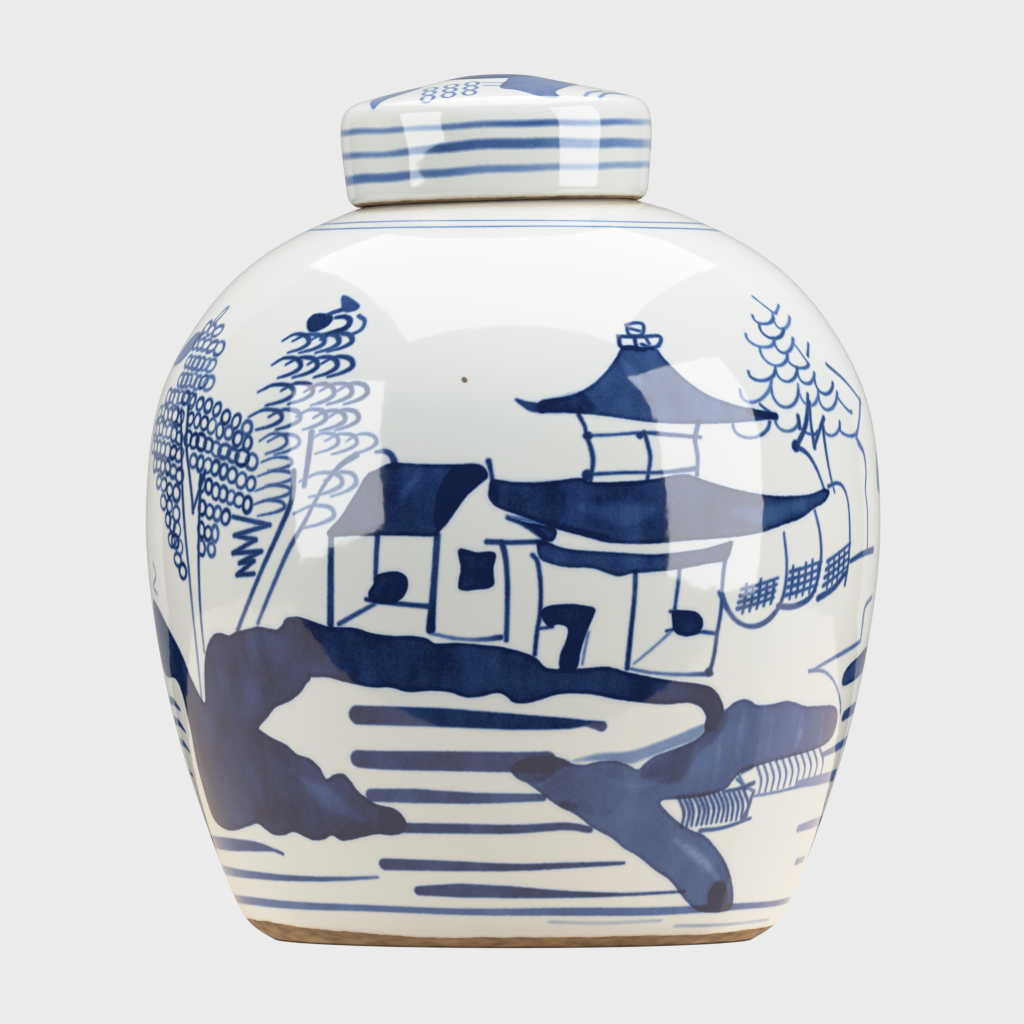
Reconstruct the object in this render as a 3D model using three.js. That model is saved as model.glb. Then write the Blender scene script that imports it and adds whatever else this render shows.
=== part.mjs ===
// A lidded porcelain ginger jar: a thrown jar with a short neck and a turned foot ring, and a
// loose cap lid that fits over the neck and rests on the shoulder.
// Millimetres, +Z up. The origin is on the jar's axis, in the plane that the foot ring stands on.
// The jar's decorated front faces -Y.
import * as THREE from 'three';

// Driving dimensions
const AROUND = 48;                 // flats round each thrown shape
const WALL = 6;                    // thickness of the jar's wall
const FOOT_RADIUS = 66;            // outer edge of the foot ring's flat
const FOOT_WIDTH = 8;
const FOOT_RECESS = 5;             // how far the base stands above the foot's plane
const FLOOR_HEIGHT = 12;           // inside floor of the jar
const NECK_FOOT = 204.4;           // height where the neck leaves the shoulder
const NECK_TOP = 221.5;
const NECK_RADIUS = 31.6;
const MOUTH_RADIUS = 27;
const LID_WALL = 4.8;
const LID_BORE = 37;               // radius inside the lid's rim
const LID_CENTRE = [-4.15, 0, 203.2];              // centre of the rim, pushed to one side
const LID_TILT = THREE.MathUtils.degToRad(1.6);    // the lid leans down the shoulder on its -X side

// The jar's outside from the foot ring's edge to the foot of the neck, as [radius, height].
const JAR_OUTLINE = [
  [FOOT_RADIUS, 0], [71.2, 3], [74.8, 7], [79, 16.2], [84, 29.5], [90.6, 49.4],
  [95.7, 69.3], [99.3, 89.2], [101.3, 108], [101.3, 123], [99.9, 138.9], [96.7, 152.2],
  [90.2, 165.4], [80.4, 178.7], [69.2, 188.6], [57.9, 195.2], [50, 198.7], [42.6, 201.7],
  [36.5, 203.3],
];

// The lid's outside from the rim's lowest ring to the crown, as [radius, height over the rim].
const LID_OUTLINE = [
  [39.2, 0], [41, 1.3], [41.7, 4], [42.2, 9], [42.8, 15], [43, 20], [42.6, 24], [41.2, 26.8],
  [38.6, 28.3], [32.6, 30], [25.2, 31.7], [17.4, 33.4], [10, 35], [5, 35.5], [0, 35.6],
];

// Points along a smooth curve through an outline, with so many steps from each point to the next.
function smooth(outline, steps) {
  const knots = outline.map(([radius, height]) => new THREE.Vector3(radius, height, 0));
  const curve = new THREE.CatmullRomCurve3(knots, false, 'centripetal');
  return curve.getPoints(steps * (knots.length - 1)).map((point) => [point.x, point.y]);
}

// The same line moved sideways, to the left of the way it runs.
function offset(line, distance) {
  return line.map(([radius, height], i) => {
    const [r0, z0] = line[Math.max(i - 1, 0)];
    const [r1, z1] = line[Math.min(i + 1, line.length - 1)];
    const length = Math.hypot(r1 - r0, z1 - z0);
    return [radius - distance * (z1 - z0) / length, height + distance * (r1 - r0) / length];
  });
}

// A body of revolution about Z from a profile that starts and ends on the axis.
function thrown(profile) {
  const points = profile.map(([radius, height]) => new THREE.Vector2(radius, height));
  return new THREE.LatheGeometry(points, AROUND).rotateX(Math.PI / 2);
}

function glaze(color) {
  return new THREE.MeshStandardMaterial({ color, roughness: 0.12, metalness: 0 });
}

function jarBody() {
  const footInside = FOOT_RADIUS - FOOT_WIDTH;
  const underside = [
    [0, FOOT_RECESS], [footInside - 2, FOOT_RECESS], [footInside - 0.6, FOOT_RECESS - 1.2],
    [footInside, 0.8], [footInside + 0.8, 0],
  ];
  const outside = smooth(JAR_OUTLINE, 2);
  const neck = [
    [33, NECK_FOOT], [NECK_RADIUS + 0.2, NECK_FOOT + 1.8], [NECK_RADIUS, NECK_FOOT + 5],
    [NECK_RADIUS, NECK_TOP - 1.2], [NECK_RADIUS - 1, NECK_TOP], [MOUTH_RADIUS + 1, NECK_TOP],
    [MOUTH_RADIUS, NECK_TOP - 1.2], [MOUTH_RADIUS, NECK_FOOT - 4], [MOUTH_RADIUS + 2, NECK_FOOT - 6.6],
  ];
  const cornerRadius = 9;
  const wallInside = offset(smooth(JAR_OUTLINE, 1), WALL)
    .filter(([radius, height]) => radius > MOUTH_RADIUS + 5 && height > FLOOR_HEIGHT + cornerRadius)
    .reverse();
  const [cornerTop] = wallInside[wallInside.length - 1];
  const floor = [
    [cornerTop - 3, FLOOR_HEIGHT + 4], [cornerTop - cornerRadius, FLOOR_HEIGHT + 0.8],
    [cornerTop - 2 * cornerRadius, FLOOR_HEIGHT], [0, FLOOR_HEIGHT],
  ];
  return thrown([...underside, ...outside, ...neck, ...wallInside, ...floor]);
}

function lidCap() {
  const cavity = [
    [0, 35.6 - LID_WALL], [14, 34.2 - LID_WALL], [26, 31.5 - LID_WALL], [32.5, 29.2 - LID_WALL],
    [35.8, 21.5], [LID_BORE - 0.4, 17], [LID_BORE - 0.2, 8], [LID_BORE, 1.4], [LID_BORE + 0.9, 0.3],
  ];
  return thrown([...cavity, ...smooth(LID_OUTLINE, 2)]);
}

function part(name, geometry, material) {
  const mesh = new THREE.Mesh(geometry, material);
  mesh.name = name;
  return mesh;
}

const gingerJar = new THREE.Group();
gingerJar.add(part('jar_body', jarBody(), glaze(0xd3d8d6)));

const lid = part('lid', lidCap(), glaze(0xd6dad9));
lid.position.set(...LID_CENTRE);
lid.rotation.y = -LID_TILT;
gingerJar.add(lid);

export default gingerJar;
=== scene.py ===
import math

import bpy
import numpy as np
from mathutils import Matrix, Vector


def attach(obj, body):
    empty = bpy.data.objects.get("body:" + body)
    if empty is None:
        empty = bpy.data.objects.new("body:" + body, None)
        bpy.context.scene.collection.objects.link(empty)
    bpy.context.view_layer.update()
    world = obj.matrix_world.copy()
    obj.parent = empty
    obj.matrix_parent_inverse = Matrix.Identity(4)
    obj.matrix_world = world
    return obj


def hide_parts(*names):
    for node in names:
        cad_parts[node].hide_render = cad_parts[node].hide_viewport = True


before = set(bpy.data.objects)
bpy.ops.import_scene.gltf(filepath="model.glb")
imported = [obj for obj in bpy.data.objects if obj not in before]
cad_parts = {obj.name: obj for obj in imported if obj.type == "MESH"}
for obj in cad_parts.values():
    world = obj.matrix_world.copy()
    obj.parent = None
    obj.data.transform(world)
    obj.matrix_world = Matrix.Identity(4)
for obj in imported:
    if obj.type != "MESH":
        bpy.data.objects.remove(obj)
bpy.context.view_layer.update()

# A blue and white porcelain ginger jar with its loose cap lid, painted in cobalt under a clear glaze.
# The pieces are in millimetres until a mesh is made, and the studio is in metres. Azimuth 0 is the
# decorated front (-Y), growing towards +X.

MM = 0.001
WALL = 6.0
FOOT_RADIUS = 66.0
FOOT_WIDTH = 8.0
FOOT_RECESS = 5.0
FLOOR_HEIGHT = 12.0
NECK_FOOT = 204.4
NECK_TOP = 221.5
NECK_RADIUS = 31.6
MOUTH_RADIUS = 27.0
LID_HEIGHT = 35.6
LID_WALL = 4.8
LID_BORE = 37.0
LID_TILT = math.radians(1.6)
LID_CENTRE = (-4.15, 0.0, 203.2)
APEX_RADIUS = 0.8         # where the lid's skin stops short of the axis

JAR_OUTLINE = [
    (FOOT_RADIUS, 0), (71.2, 3), (74.8, 7), (79, 16.2), (84, 29.5), (90.6, 49.4), (95.7, 69.3),
    (99.3, 89.2), (101.3, 108), (101.3, 123), (99.9, 138.9), (96.7, 152.2), (90.2, 165.4),
    (80.4, 178.7), (69.2, 188.6), (57.9, 195.2), (50, 198.7), (42.6, 201.7), (36.5, 203.3),
    (33, NECK_FOOT),
]
LID_OUTLINE = [
    (39.2, 0), (41, 1.3), (41.7, 4), (42.2, 9), (42.8, 15), (43, 20), (42.6, 24), (41.2, 26.8),
    (38.6, 28.3), (32.6, 30), (25.2, 31.7), (17.4, 33.4), (10, 35), (5, 35.5), (APEX_RADIUS, LID_HEIGHT),
]

GLAZE_IOR = 1.7
GLAZE_ROUGHNESS = 0.06
CLAY_ROUGHNESS = 0.85
RIPPLE = 0.08             # strength of the faint ripple in the glaze

PAPER_ALBEDO = 0.012      # the studio's paper gives back little light, so shadows on it are faint
PAPER_ROUGHNESS = 0.9
FLOOR_GLOW = 0.914
WALL_GLOW = 0.916
HIGHLIGHT_LIMIT = 2.4     # the brightest light that the picture still tells from white
WATTS = math.pi           # of an area light for one square metre at brightness 1
AMBIENT = 0.325
SOFTBOX_DISTANCE = 1.2
AIM_HEIGHT = 0.12         # up the jar, where the softboxes point
GLOW_HEIGHT = 0.0005      # of the lit stretches of table
SHEEN_HEIGHT = 0.0009
SWEEP_RADIUS = 6.0
SWEEP_HEIGHT = 6.0
SWEEP_BEND = 1.0

FOCAL_MM = 407.2
SENSOR_MM = 36.0
CAMERA_PLACE = (0, -3.2, 0.126)
CAMERA_AIM = (-0.0003, 0, 0.1179)

LAYERS = ("wash", "line", "accent", "light", "iron")    # light is where the brush left it thin
FAR = 3.0                 # distances to the paint are kept up to here
FINE_STEP = 0.1
SPLINE_POINTS = 4000
CURVE_STEPS = 6           # between each two points of a brush mark
DEPTH = 3                 # times that a cell may be halved where paint has an edge
SPLIT_WITHIN = (0.9, 0.4, 0.15)    # how near to an edge of paint, for each time it is halved


# ---------------------------------------------------------------- thrown shapes

def cubic_line(outline, count):
    """Points on a natural cubic spline through an outline."""
    knots = np.array(outline, float)
    gaps = np.sqrt(np.hypot(*np.diff(knots, axis=0).T))
    at = np.concatenate([[0], np.cumsum(gaps)])
    n = len(knots)
    system = np.eye(n)
    right = np.zeros((n, 2))
    for i in range(1, n - 1):
        system[i, i - 1:i + 2] = gaps[i - 1], 2 * (gaps[i - 1] + gaps[i]), gaps[i]
        slope = (knots[i + 1] - knots[i]) / gaps[i] - (knots[i] - knots[i - 1]) / gaps[i - 1]
        right[i] = 6 * slope
    bend = np.linalg.solve(system, right)
    t = np.linspace(0, at[-1], count)
    i = np.clip(np.searchsorted(at, t, side="right") - 1, 0, n - 2)
    h = gaps[i][:, None]
    a = ((at[i + 1] - t)[:, None]) / h
    b = 1 - a
    curve = a * knots[i] + b * knots[i + 1]
    return curve + ((a ** 3 - a) * bend[i] + (b ** 3 - b) * bend[i + 1]) * h * h / 6


def straight_line(outline, count):
    """Points along an outline's straight pieces."""
    knots = np.array(outline, float)
    at = np.concatenate([[0], np.cumsum(np.hypot(*np.diff(knots, axis=0).T))])
    t = np.linspace(0, at[-1], count)
    return np.stack([np.interp(t, at, knots[:, 0]), np.interp(t, at, knots[:, 1])], 1)


def line_length(line):
    return np.hypot(*np.diff(line, axis=0).T).sum()


def rounded(line, blur, step):
    """The line resampled evenly, with its corners rounded off over about blur mm."""
    line = straight_line(line, int(line_length(line) / FINE_STEP) + 1)
    reach = int(3 * blur / FINE_STEP)
    weight = np.exp(-0.5 * (np.arange(-reach, reach + 1) * FINE_STEP / blur) ** 2)
    weight /= weight.sum()
    before = 2 * line[0] - line[reach:0:-1]
    after = 2 * line[-1] - line[-2:-reach - 2:-1]
    padded = np.concatenate([before, line, after])
    line = np.stack([np.convolve(padded[:, k], weight, "valid") for k in (0, 1)], 1)
    return straight_line(line, max(2, int(round(line_length(line) / step)) + 1))


def offset(line, distance):
    """The line moved to the left of the way it runs."""
    along = np.gradient(line, axis=0)
    along /= np.hypot(*along.T)[:, None]
    return line + distance * np.stack([-along[:, 1], along[:, 0]], 1)


def spread_along(values, count):
    """One value, or a few, spread evenly over so many points."""
    return np.interp(np.linspace(0, 1, count), np.linspace(0, 1, np.size(values)), np.ravel(values))


def segment_distance(start, end, angle, along, radius):
    """Distance from the lattice to a straight piece, and the share of it passed where it is nearest."""
    ax = (start[0] - angle) * radius
    ay = start[1] - along
    dx = (end[0] - start[0]) * radius
    dy = end[1] - start[1]
    t = np.clip(-(ax * dx + ay * dy) / (dx * dx + dy * dy + 1e-9), 0, 1)
    return np.hypot(ax + t * dx, ay + t * dy), t


class Canvas:
    """The painted outside of a thrown shape, as a fine lattice of rows and columns.

    Each layer holds, at every lattice point, the distance to the nearest edge of its paint
    (negative inside) and how strong the paint is there."""

    def __init__(self, outline, base_columns, base_rows, blur):
        self.base_rows = base_rows
        self.base_columns = base_columns
        self.rows = base_rows * 2 ** DEPTH
        self.columns = base_columns * 2 ** DEPTH
        line = rounded(cubic_line(outline, SPLINE_POINTS), blur, FINE_STEP)
        self.line = straight_line(line, self.rows + 1)
        self.radius, self.height = self.line.T
        self.along = np.linspace(0, line_length(line), self.rows + 1)
        self.turn = 2 * math.pi / self.columns
        shape = (self.rows + 1, self.columns)
        self.edge = {name: np.full(shape, FAR, np.float32) for name in LAYERS}
        self.tone = {name: np.zeros(shape, np.float32) for name in LAYERS}
        # distance from bare clay; near the jar's neck it also carries a painted reflection and shade of
        # the lid's rim
        self.bare = np.full(shape, FAR, np.float32)

    def front(self, points, facing=0.0):
        """Surface places of points seen straight on from an azimuth: x across, z up."""
        x, z = np.array(points, float).T
        radius = np.interp(z, self.height, self.radius)
        angle = np.arcsin(np.clip(x / radius, -1, 1)) + math.radians(facing)
        return np.stack([angle, np.interp(z, self.height, self.along)], 1)

    def plan(self, points):
        """Surface places of points seen from above: x to the right, y away from the front."""
        x, y = np.array(points, float).T
        widest = self.radius.argmax()
        place = np.interp(np.hypot(x, y), self.radius[:widest:-1], self.along[:widest:-1])
        return np.stack([np.unwrap(np.arctan2(x, -y)), place], 1)

    def window(self, places, reach):
        """Rows and columns within reach of some places, and their coordinates."""
        low, high = places[:, 1].min() - reach, places[:, 1].max() + reach
        row0, row1 = np.searchsorted(self.along, (low, high))
        rows = slice(max(row0 - 1, 0), min(row1 + 1, self.rows + 1))
        spread = reach / max(self.radius[rows].min(), 0.5)
        spread = min(spread, math.pi)
        first = math.floor((places[:, 0].min() - spread) / self.turn)
        last = math.ceil((places[:, 0].max() + spread) / self.turn) + 1
        last = min(last, first + self.columns)
        columns = np.arange(first, last)
        angle = (columns * self.turn)[None, :]
        return rows, columns, angle, self.along[rows][:, None], self.radius[rows][:, None]

    def merge(self, layer, rows, columns, distance, tone):
        """Lays new paint over a layer. Each point keeps the mark that it is deepest in or nearest to."""
        wrapped = columns % self.columns
        edge = self.edge[layer][rows]
        strength = self.tone[layer][rows]
        closer = distance < edge[:, wrapped]
        edge[:, wrapped] = np.where(closer, distance, edge[:, wrapped])
        strength[:, wrapped] = np.where(closer, tone, strength[:, wrapped])

    def stroke(self, layer, places, width, tone):
        """A brush stroke along places. Width and tone may change from point to point."""
        count = len(places)
        half = spread_along(width, count) / 2
        tones = spread_along(tone, count)
        rows, columns, angle, along, radius = self.window(places, FAR / 2 + half.max())
        best = np.full((along.size, angle.size), FAR, np.float32)
        shade = np.zeros_like(best)
        for k in range(count - 1):
            distance, t = segment_distance(places[k], places[k + 1], angle, along, radius)
            distance = distance - (half[k] + t * (half[k + 1] - half[k]))
            closer = distance < best
            best = np.where(closer, distance, best)
            shade = np.where(closer, tones[k] + t * (tones[k + 1] - tones[k]), shade)
        self.merge(layer, rows, columns, best, shade)

    def fill(self, layer, places, tone):
        """An area of paint inside a closed outline."""
        rows, columns, angle, along, radius = self.window(places, FAR / 2)
        best = np.full((along.size, angle.size), FAR, np.float32)
        inside = np.zeros(best.shape, bool)
        ends = np.roll(places, -1, axis=0)
        for (angle0, along0), (angle1, along1) in zip(places, ends):
            distance, _ = segment_distance((angle0, along0), (angle1, along1), angle, along, radius)
            best = np.minimum(best, distance)
            if along0 != along1:
                crosses = (along0 > along) != (along1 > along)
                at = angle0 + (along - along0) * (angle1 - angle0) / (along1 - along0)
                inside ^= crosses & (angle < at)
        self.merge(layer, rows, columns, np.where(inside, -best, best), tone)


def curved(points, closed=False):
    """A smooth line through points."""
    points = np.array(points, float)
    if len(points) < 3:
        return points
    if closed:
        padded = np.concatenate([points[-1:], points, points[:2]])
    else:
        padded = np.concatenate([2 * points[:1] - points[1:2], points, 2 * points[-1:] - points[-2:-1]])
    p0, p1, p2, p3 = (padded[k:len(padded) - 3 + k, None, :] for k in range(4))
    t = np.arange(CURVE_STEPS)[None, :, None] / CURVE_STEPS
    line = 0.5 * (2 * p1 + (p2 - p0) * t + (2 * p0 - 5 * p1 + 4 * p2 - p3) * t ** 2
                  + (3 * p1 - p0 - 3 * p2 + p3) * t ** 3)
    line = line.reshape(-1, points.shape[1])
    return line if closed else np.concatenate([line, points[-1:]])


# ---------------------------------------------------------------- painted skin

def grown(cells):
    """Cells with all their neighbours. Columns wrap round the shape."""
    cells = cells | np.roll(cells, 1, 1) | np.roll(cells, -1, 1)
    up = np.zeros_like(cells)
    up[1:] = cells[:-1]
    down = np.zeros_like(cells)
    down[:-1] = cells[1:]
    return cells | up | down


def parents(cells):
    """True where any of a cell's four quarters is."""
    rows, columns = cells.shape
    return cells.reshape(rows // 2, 2, columns // 2, 2).any((1, 3))


def children(cells):
    return cells.repeat(2, 0).repeat(2, 1)


def cell_splits(canvas, closes_over):
    """For each depth, which cells are cut in four because an edge of paint runs through them.

    Only thin strokes need the finest cells. The rows that a plain profile joins stay coarse: the
    first ones, and the last ones unless the skin itself closes over the top."""
    thin = [canvas.edge[layer] for layer in ("line", "iron")]
    broad = [canvas.edge[layer] for layer in ("wash", "accent")] + [canvas.bare]
    splits = []
    for depth in range(DEPTH):
        size = 2 ** (DEPTH - depth)
        rows, columns = canvas.rows // size, canvas.columns // size
        edges = thin if depth == DEPTH - 1 else thin + broad
        nearest = np.minimum.reduce([np.abs(edge) for edge in edges])
        nearest = np.concatenate([nearest, nearest[:, :1]], 1)
        nearest = np.minimum(nearest[:-1], nearest[1:])
        nearest = np.minimum(nearest[:, :-1], nearest[:, 1:])
        closest = nearest.reshape(rows, size, columns, size).min((1, 3))
        splits.append(closest < SPLIT_WITHIN[depth])
    for depth in range(DEPTH - 1, -1, -1):
        margin = 2 ** (depth + 1) - 1
        splits[depth][:margin] = False
        if not closes_over:
            splits[depth][-margin:] = False
        if depth:
            splits[depth - 1] |= parents(grown(splits[depth]))
    return splits


def cell_faces(canvas, leaf, split, size):
    """Faces of the cells of one size that aren't split: a quad each, or a fan of triangles round the
    middle of a cell whose neighbour is finer."""
    row, column = np.nonzero(leaf)
    rows, columns = leaf.shape
    finer = [
        (row > 0) & split[np.maximum(row - 1, 0), column],
        split[row, (column + 1) % columns],
        (row < rows - 1) & split[np.minimum(row + 1, rows - 1), column],
        split[row, column - 1],
    ]
    low, left = row * size, column * size

    def vertex(up, right):
        return (low + up) * canvas.columns + (left + right) % canvas.columns

    half = size // 2
    corners = [vertex(0, 0), vertex(0, size), vertex(size, size), vertex(size, 0)]
    middles = [vertex(0, half), vertex(half, size), vertex(size, half), vertex(half, 0)]
    centre = vertex(half, half)
    pattern = sum(side.astype(int) << k for k, side in enumerate(finer))
    quads = np.stack([corner[pattern == 0] for corner in corners], 1)
    triangles = []
    for sides in range(1, 16):
        chosen = pattern == sides
        ring = []
        for k in range(4):
            ring.append(corners[k][chosen])
            if sides >> k & 1:
                ring.append(middles[k][chosen])
        for a, b in zip(ring, ring[1:] + ring[:1]):
            triangles.append(np.stack([centre[chosen], a, b], 1))
    return np.concatenate(triangles), quads


def skin_faces(canvas, closes_over):
    """Triangles and quads of the painted skin, finer where paint has an edge."""
    splits = cell_splits(canvas, closes_over)
    exists = np.ones((canvas.base_rows, canvas.base_columns), bool)
    splits.append(np.zeros((canvas.rows, canvas.columns), bool))
    faces = []
    for depth, split in enumerate(splits):
        faces.append(cell_faces(canvas, exists & ~split, split, 2 ** (DEPTH - depth)))
        exists = children(split)
    triangles, quads = zip(*faces)
    return np.concatenate(triangles), np.concatenate(quads)


def ring_points(line, columns):
    """Points and outward normals of a profile turned about the axis."""
    along = np.gradient(line, axis=0)
    along /= np.hypot(*along.T)[:, None]
    angle = np.arange(columns) * 2 * math.pi / columns
    around = np.stack([np.sin(angle), -np.cos(angle)], 1)
    points = np.empty((len(line), columns, 3))
    normals = np.empty_like(points)
    points[..., :2] = line[:, None, :1] * around
    points[..., 2] = line[:, 1:]
    normals[..., :2] = along[:, None, 1:] * around
    normals[..., 2] = -along[:, :1]
    return points, normals


def strip_faces(lower, upper):
    """Quads between two rings of vertex numbers."""
    return np.stack([lower, np.roll(lower, -1), np.roll(upper, -1), upper], 1)


def fan_faces(ring, centre, downward):
    triangles = np.stack([ring, np.roll(ring, -1), np.full(len(ring), centre)], 1)
    return triangles[:, [1, 0, 2]] if downward else triangles


class Shell:
    """The points, normals and faces of a closed turned shape, gathered ring by ring."""

    def __init__(self):
        self.points = []
        self.normals = []
        self.triangles = []
        self.quads = []
        self.total = 0

    def add_points(self, points, normals):
        """Adds points, and gives their numbers in the mesh."""
        self.points.append(points.reshape(-1, 3))
        self.normals.append(normals.reshape(-1, 3))
        numbers = self.total + np.arange(points.size // 3).reshape(points.shape[:-1])
        self.total += numbers.size
        return numbers

    def join(self, rings):
        self.quads += [strip_faces(a, b) for a, b in zip(rings, rings[1:])]

    def close(self, ring, height, up):
        """A fan from a ring to a point on the axis."""
        pole = self.add_points(np.array([[0, 0, height]]), np.array([[0, 0, 1.0 if up else -1.0]]))
        self.triangles.append(fan_faces(ring, pole[0], not up))

    def mesh(self, name):
        mesh = bpy.data.meshes.new(name)
        faces = [*np.concatenate(self.triangles).tolist(), *np.concatenate(self.quads).tolist()]
        mesh.from_pydata(np.concatenate(self.points) * MM, [], faces)
        mesh.polygons.foreach_set("use_smooth", np.ones(len(faces), bool))
        return mesh


def thrown_mesh(name, canvas, before, after, unglazed):
    """One closed mesh: the painted skin between the plain profiles before and after it.

    before runs from the axis to the skin's first row. after runs from its last row back to the
    axis, and is None where the skin itself closes over the top."""
    shell = Shell()
    lattice_points, lattice_normals = ring_points(canvas.line, canvas.columns)
    triangles, quads = skin_faces(canvas, closes_over=after is None)
    used = np.unique(np.concatenate([triangles.ravel(), quads.ravel()]))
    number = np.full(lattice_points.shape[0] * canvas.columns, -1)
    number[used] = shell.add_points(lattice_points.reshape(-1, 3)[used],
                                    lattice_normals.reshape(-1, 3)[used])
    shell.triangles.append(number[triangles])
    shell.quads.append(number[quads])
    coarse = np.arange(canvas.base_columns) * 2 ** DEPTH
    last_row = number[canvas.rows * canvas.columns:]
    under = [*shell.add_points(*ring_points(before[1:-1], canvas.base_columns)), number[coarse]]
    shell.join(under)
    shell.close(under[0], before[0, 1], up=False)
    if after is None:
        shell.close(last_row[last_row >= 0], canvas.height[-1], up=True)
    else:
        over = [last_row[coarse], *shell.add_points(*ring_points(after[1:-1], canvas.base_columns))]
        shell.join(over)
        shell.close(over[-1], after[-1, 1], up=True)
    mesh = shell.mesh(name)
    points = np.concatenate(shell.points)
    store_paint(mesh, canvas, used, points, unglazed)
    return mesh, points, np.concatenate(shell.normals)


def store_paint(mesh, canvas, used, points, unglazed):
    """Puts the lattice's layers on the mesh's points. The plain profiles carry no paint, and are
    bare clay where unglazed says so, from a point's radius and height."""
    total = len(points)
    fields = {"bare": (canvas.bare, FAR)}
    for layer in LAYERS:
        fields[layer + "_edge"] = (canvas.edge[layer], FAR)
        fields[layer + "_tone"] = (canvas.tone[layer], 0.0)
    for name, (field, empty) in fields.items():
        values = np.full(total, empty, np.float32)
        values[:len(used)] = field.ravel()[used]
        if name == "bare":
            plain = points[len(used):]
            values[len(used):] = unglazed(np.hypot(plain[:, 0], plain[:, 1]), plain[:, 2])
        mesh.attributes.new(name, "FLOAT", "POINT").data.foreach_set("value", values)


def thrown_object(name, mesh, normals):
    """Adds the mesh to the scene with the turned shape's exact normals."""
    normals = normals / np.linalg.norm(normals, axis=1)[:, None]
    mesh.normals_split_custom_set_from_vertices(normals.tolist())
    piece = bpy.data.objects.new(name, mesh)
    bpy.context.scene.collection.objects.link(piece)
    return piece


# ---------------------------------------------------------------- the two pieces

def foot_and_mouth(radius, height):
    """Distance from the unglazed clay: the foot ring's flat and the lip of the neck."""
    foot = np.hypot(np.maximum(FOOT_RADIUS - FOOT_WIDTH - radius, 0), np.maximum(height - 1.5, 0))
    lip = np.where(radius < NECK_RADIUS + 1, np.abs(height - NECK_TOP), FAR)
    return np.clip(np.minimum(foot, lip) - 1.2, -FAR, FAR)


def lid_rim(radius, height):
    """Distance from the unglazed clay under the lid's rim and just inside it."""
    away = np.hypot(np.maximum(LID_BORE - radius, 0), np.maximum(height - 2.5, 0))
    return np.clip(away - 1.0, -FAR, FAR)


def jar_piece(canvas):
    inner_foot = FOOT_RADIUS - FOOT_WIDTH
    under = [(0, FOOT_RECESS), (inner_foot - 2, FOOT_RECESS), (inner_foot - 0.5, FOOT_RECESS - 1.4),
             (inner_foot, 0.9), (inner_foot + 1, 0), (FOOT_RADIUS, 0)]
    before = np.concatenate([[under[0]], rounded(np.array(under[1:], float), 0.5, 1.0)])
    before[-1] = canvas.line[0]
    wall = offset(rounded(canvas.line, 2.0, 4.0), WALL)
    wall = wall[(wall[:, 1] > FLOOR_HEIGHT + 12) & (wall[:, 0] > MOUTH_RADIUS + 6)][::-1]
    corner = wall[-1, 0]
    floor = [
        (corner - 5, FLOOR_HEIGHT + 4), (corner - 13, FLOOR_HEIGHT + 0.7), (corner - 24, FLOOR_HEIGHT),
    ]
    neck = [
        (33, NECK_FOOT), (NECK_RADIUS + 0.3, NECK_FOOT + 1.6), (NECK_RADIUS, NECK_FOOT + 5),
        (NECK_RADIUS, NECK_TOP - 1.3), (NECK_RADIUS - 1.2, NECK_TOP), (MOUTH_RADIUS + 1.2, NECK_TOP),
        (MOUTH_RADIUS, NECK_TOP - 1.3), (MOUTH_RADIUS, NECK_FOOT - 4),
        (MOUTH_RADIUS + 2, NECK_FOOT - 6.6),
    ]
    upper = rounded(np.array(neck, float), 0.6, 1.2)
    after = np.concatenate([upper, wall, rounded(np.array(floor), 1.0, 4.0), [(0, FLOOR_HEIGHT)]])
    after[0] = canvas.line[-1]
    mesh, _, normals = thrown_mesh("glazed_jar", canvas, before, after, foot_and_mouth)
    piece = thrown_object("glazed_jar", mesh, normals)
    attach(piece, "jar")
    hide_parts("jar_body")
    return piece


def lid_piece(canvas):
    top = LID_HEIGHT - LID_WALL
    cavity = [(3, top), (14, top - 1.4), (26, top - 4.1), (32.5, top - 6.4), (35.8, 21.5),
              (LID_BORE - 0.4, 17), (LID_BORE - 0.2, 8), (LID_BORE, 1.4), (LID_BORE + 0.9,
                                                                           0.3), (39.2, 0)]
    before = np.concatenate([[(0, top)], rounded(np.array(cavity, float), 0.6, 1.5)])
    before[-1] = canvas.line[0]
    mesh, points, normals = thrown_mesh("glazed_lid", canvas, before, None, lid_rim)
    cosine, sine = math.cos(LID_TILT), math.sin(LID_TILT)
    leaning = np.array([[cosine, 0, -sine], [0, 1, 0], [sine, 0, cosine]])
    placed = (points @ leaning.T + LID_CENTRE) * MM
    mesh.vertices.foreach_set("co", placed.ravel())
    piece = thrown_object("glazed_lid", mesh, normals @ leaning.T)
    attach(piece, "lid")
    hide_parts("lid")
    return piece


# ---------------------------------------------------------------- painting

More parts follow.
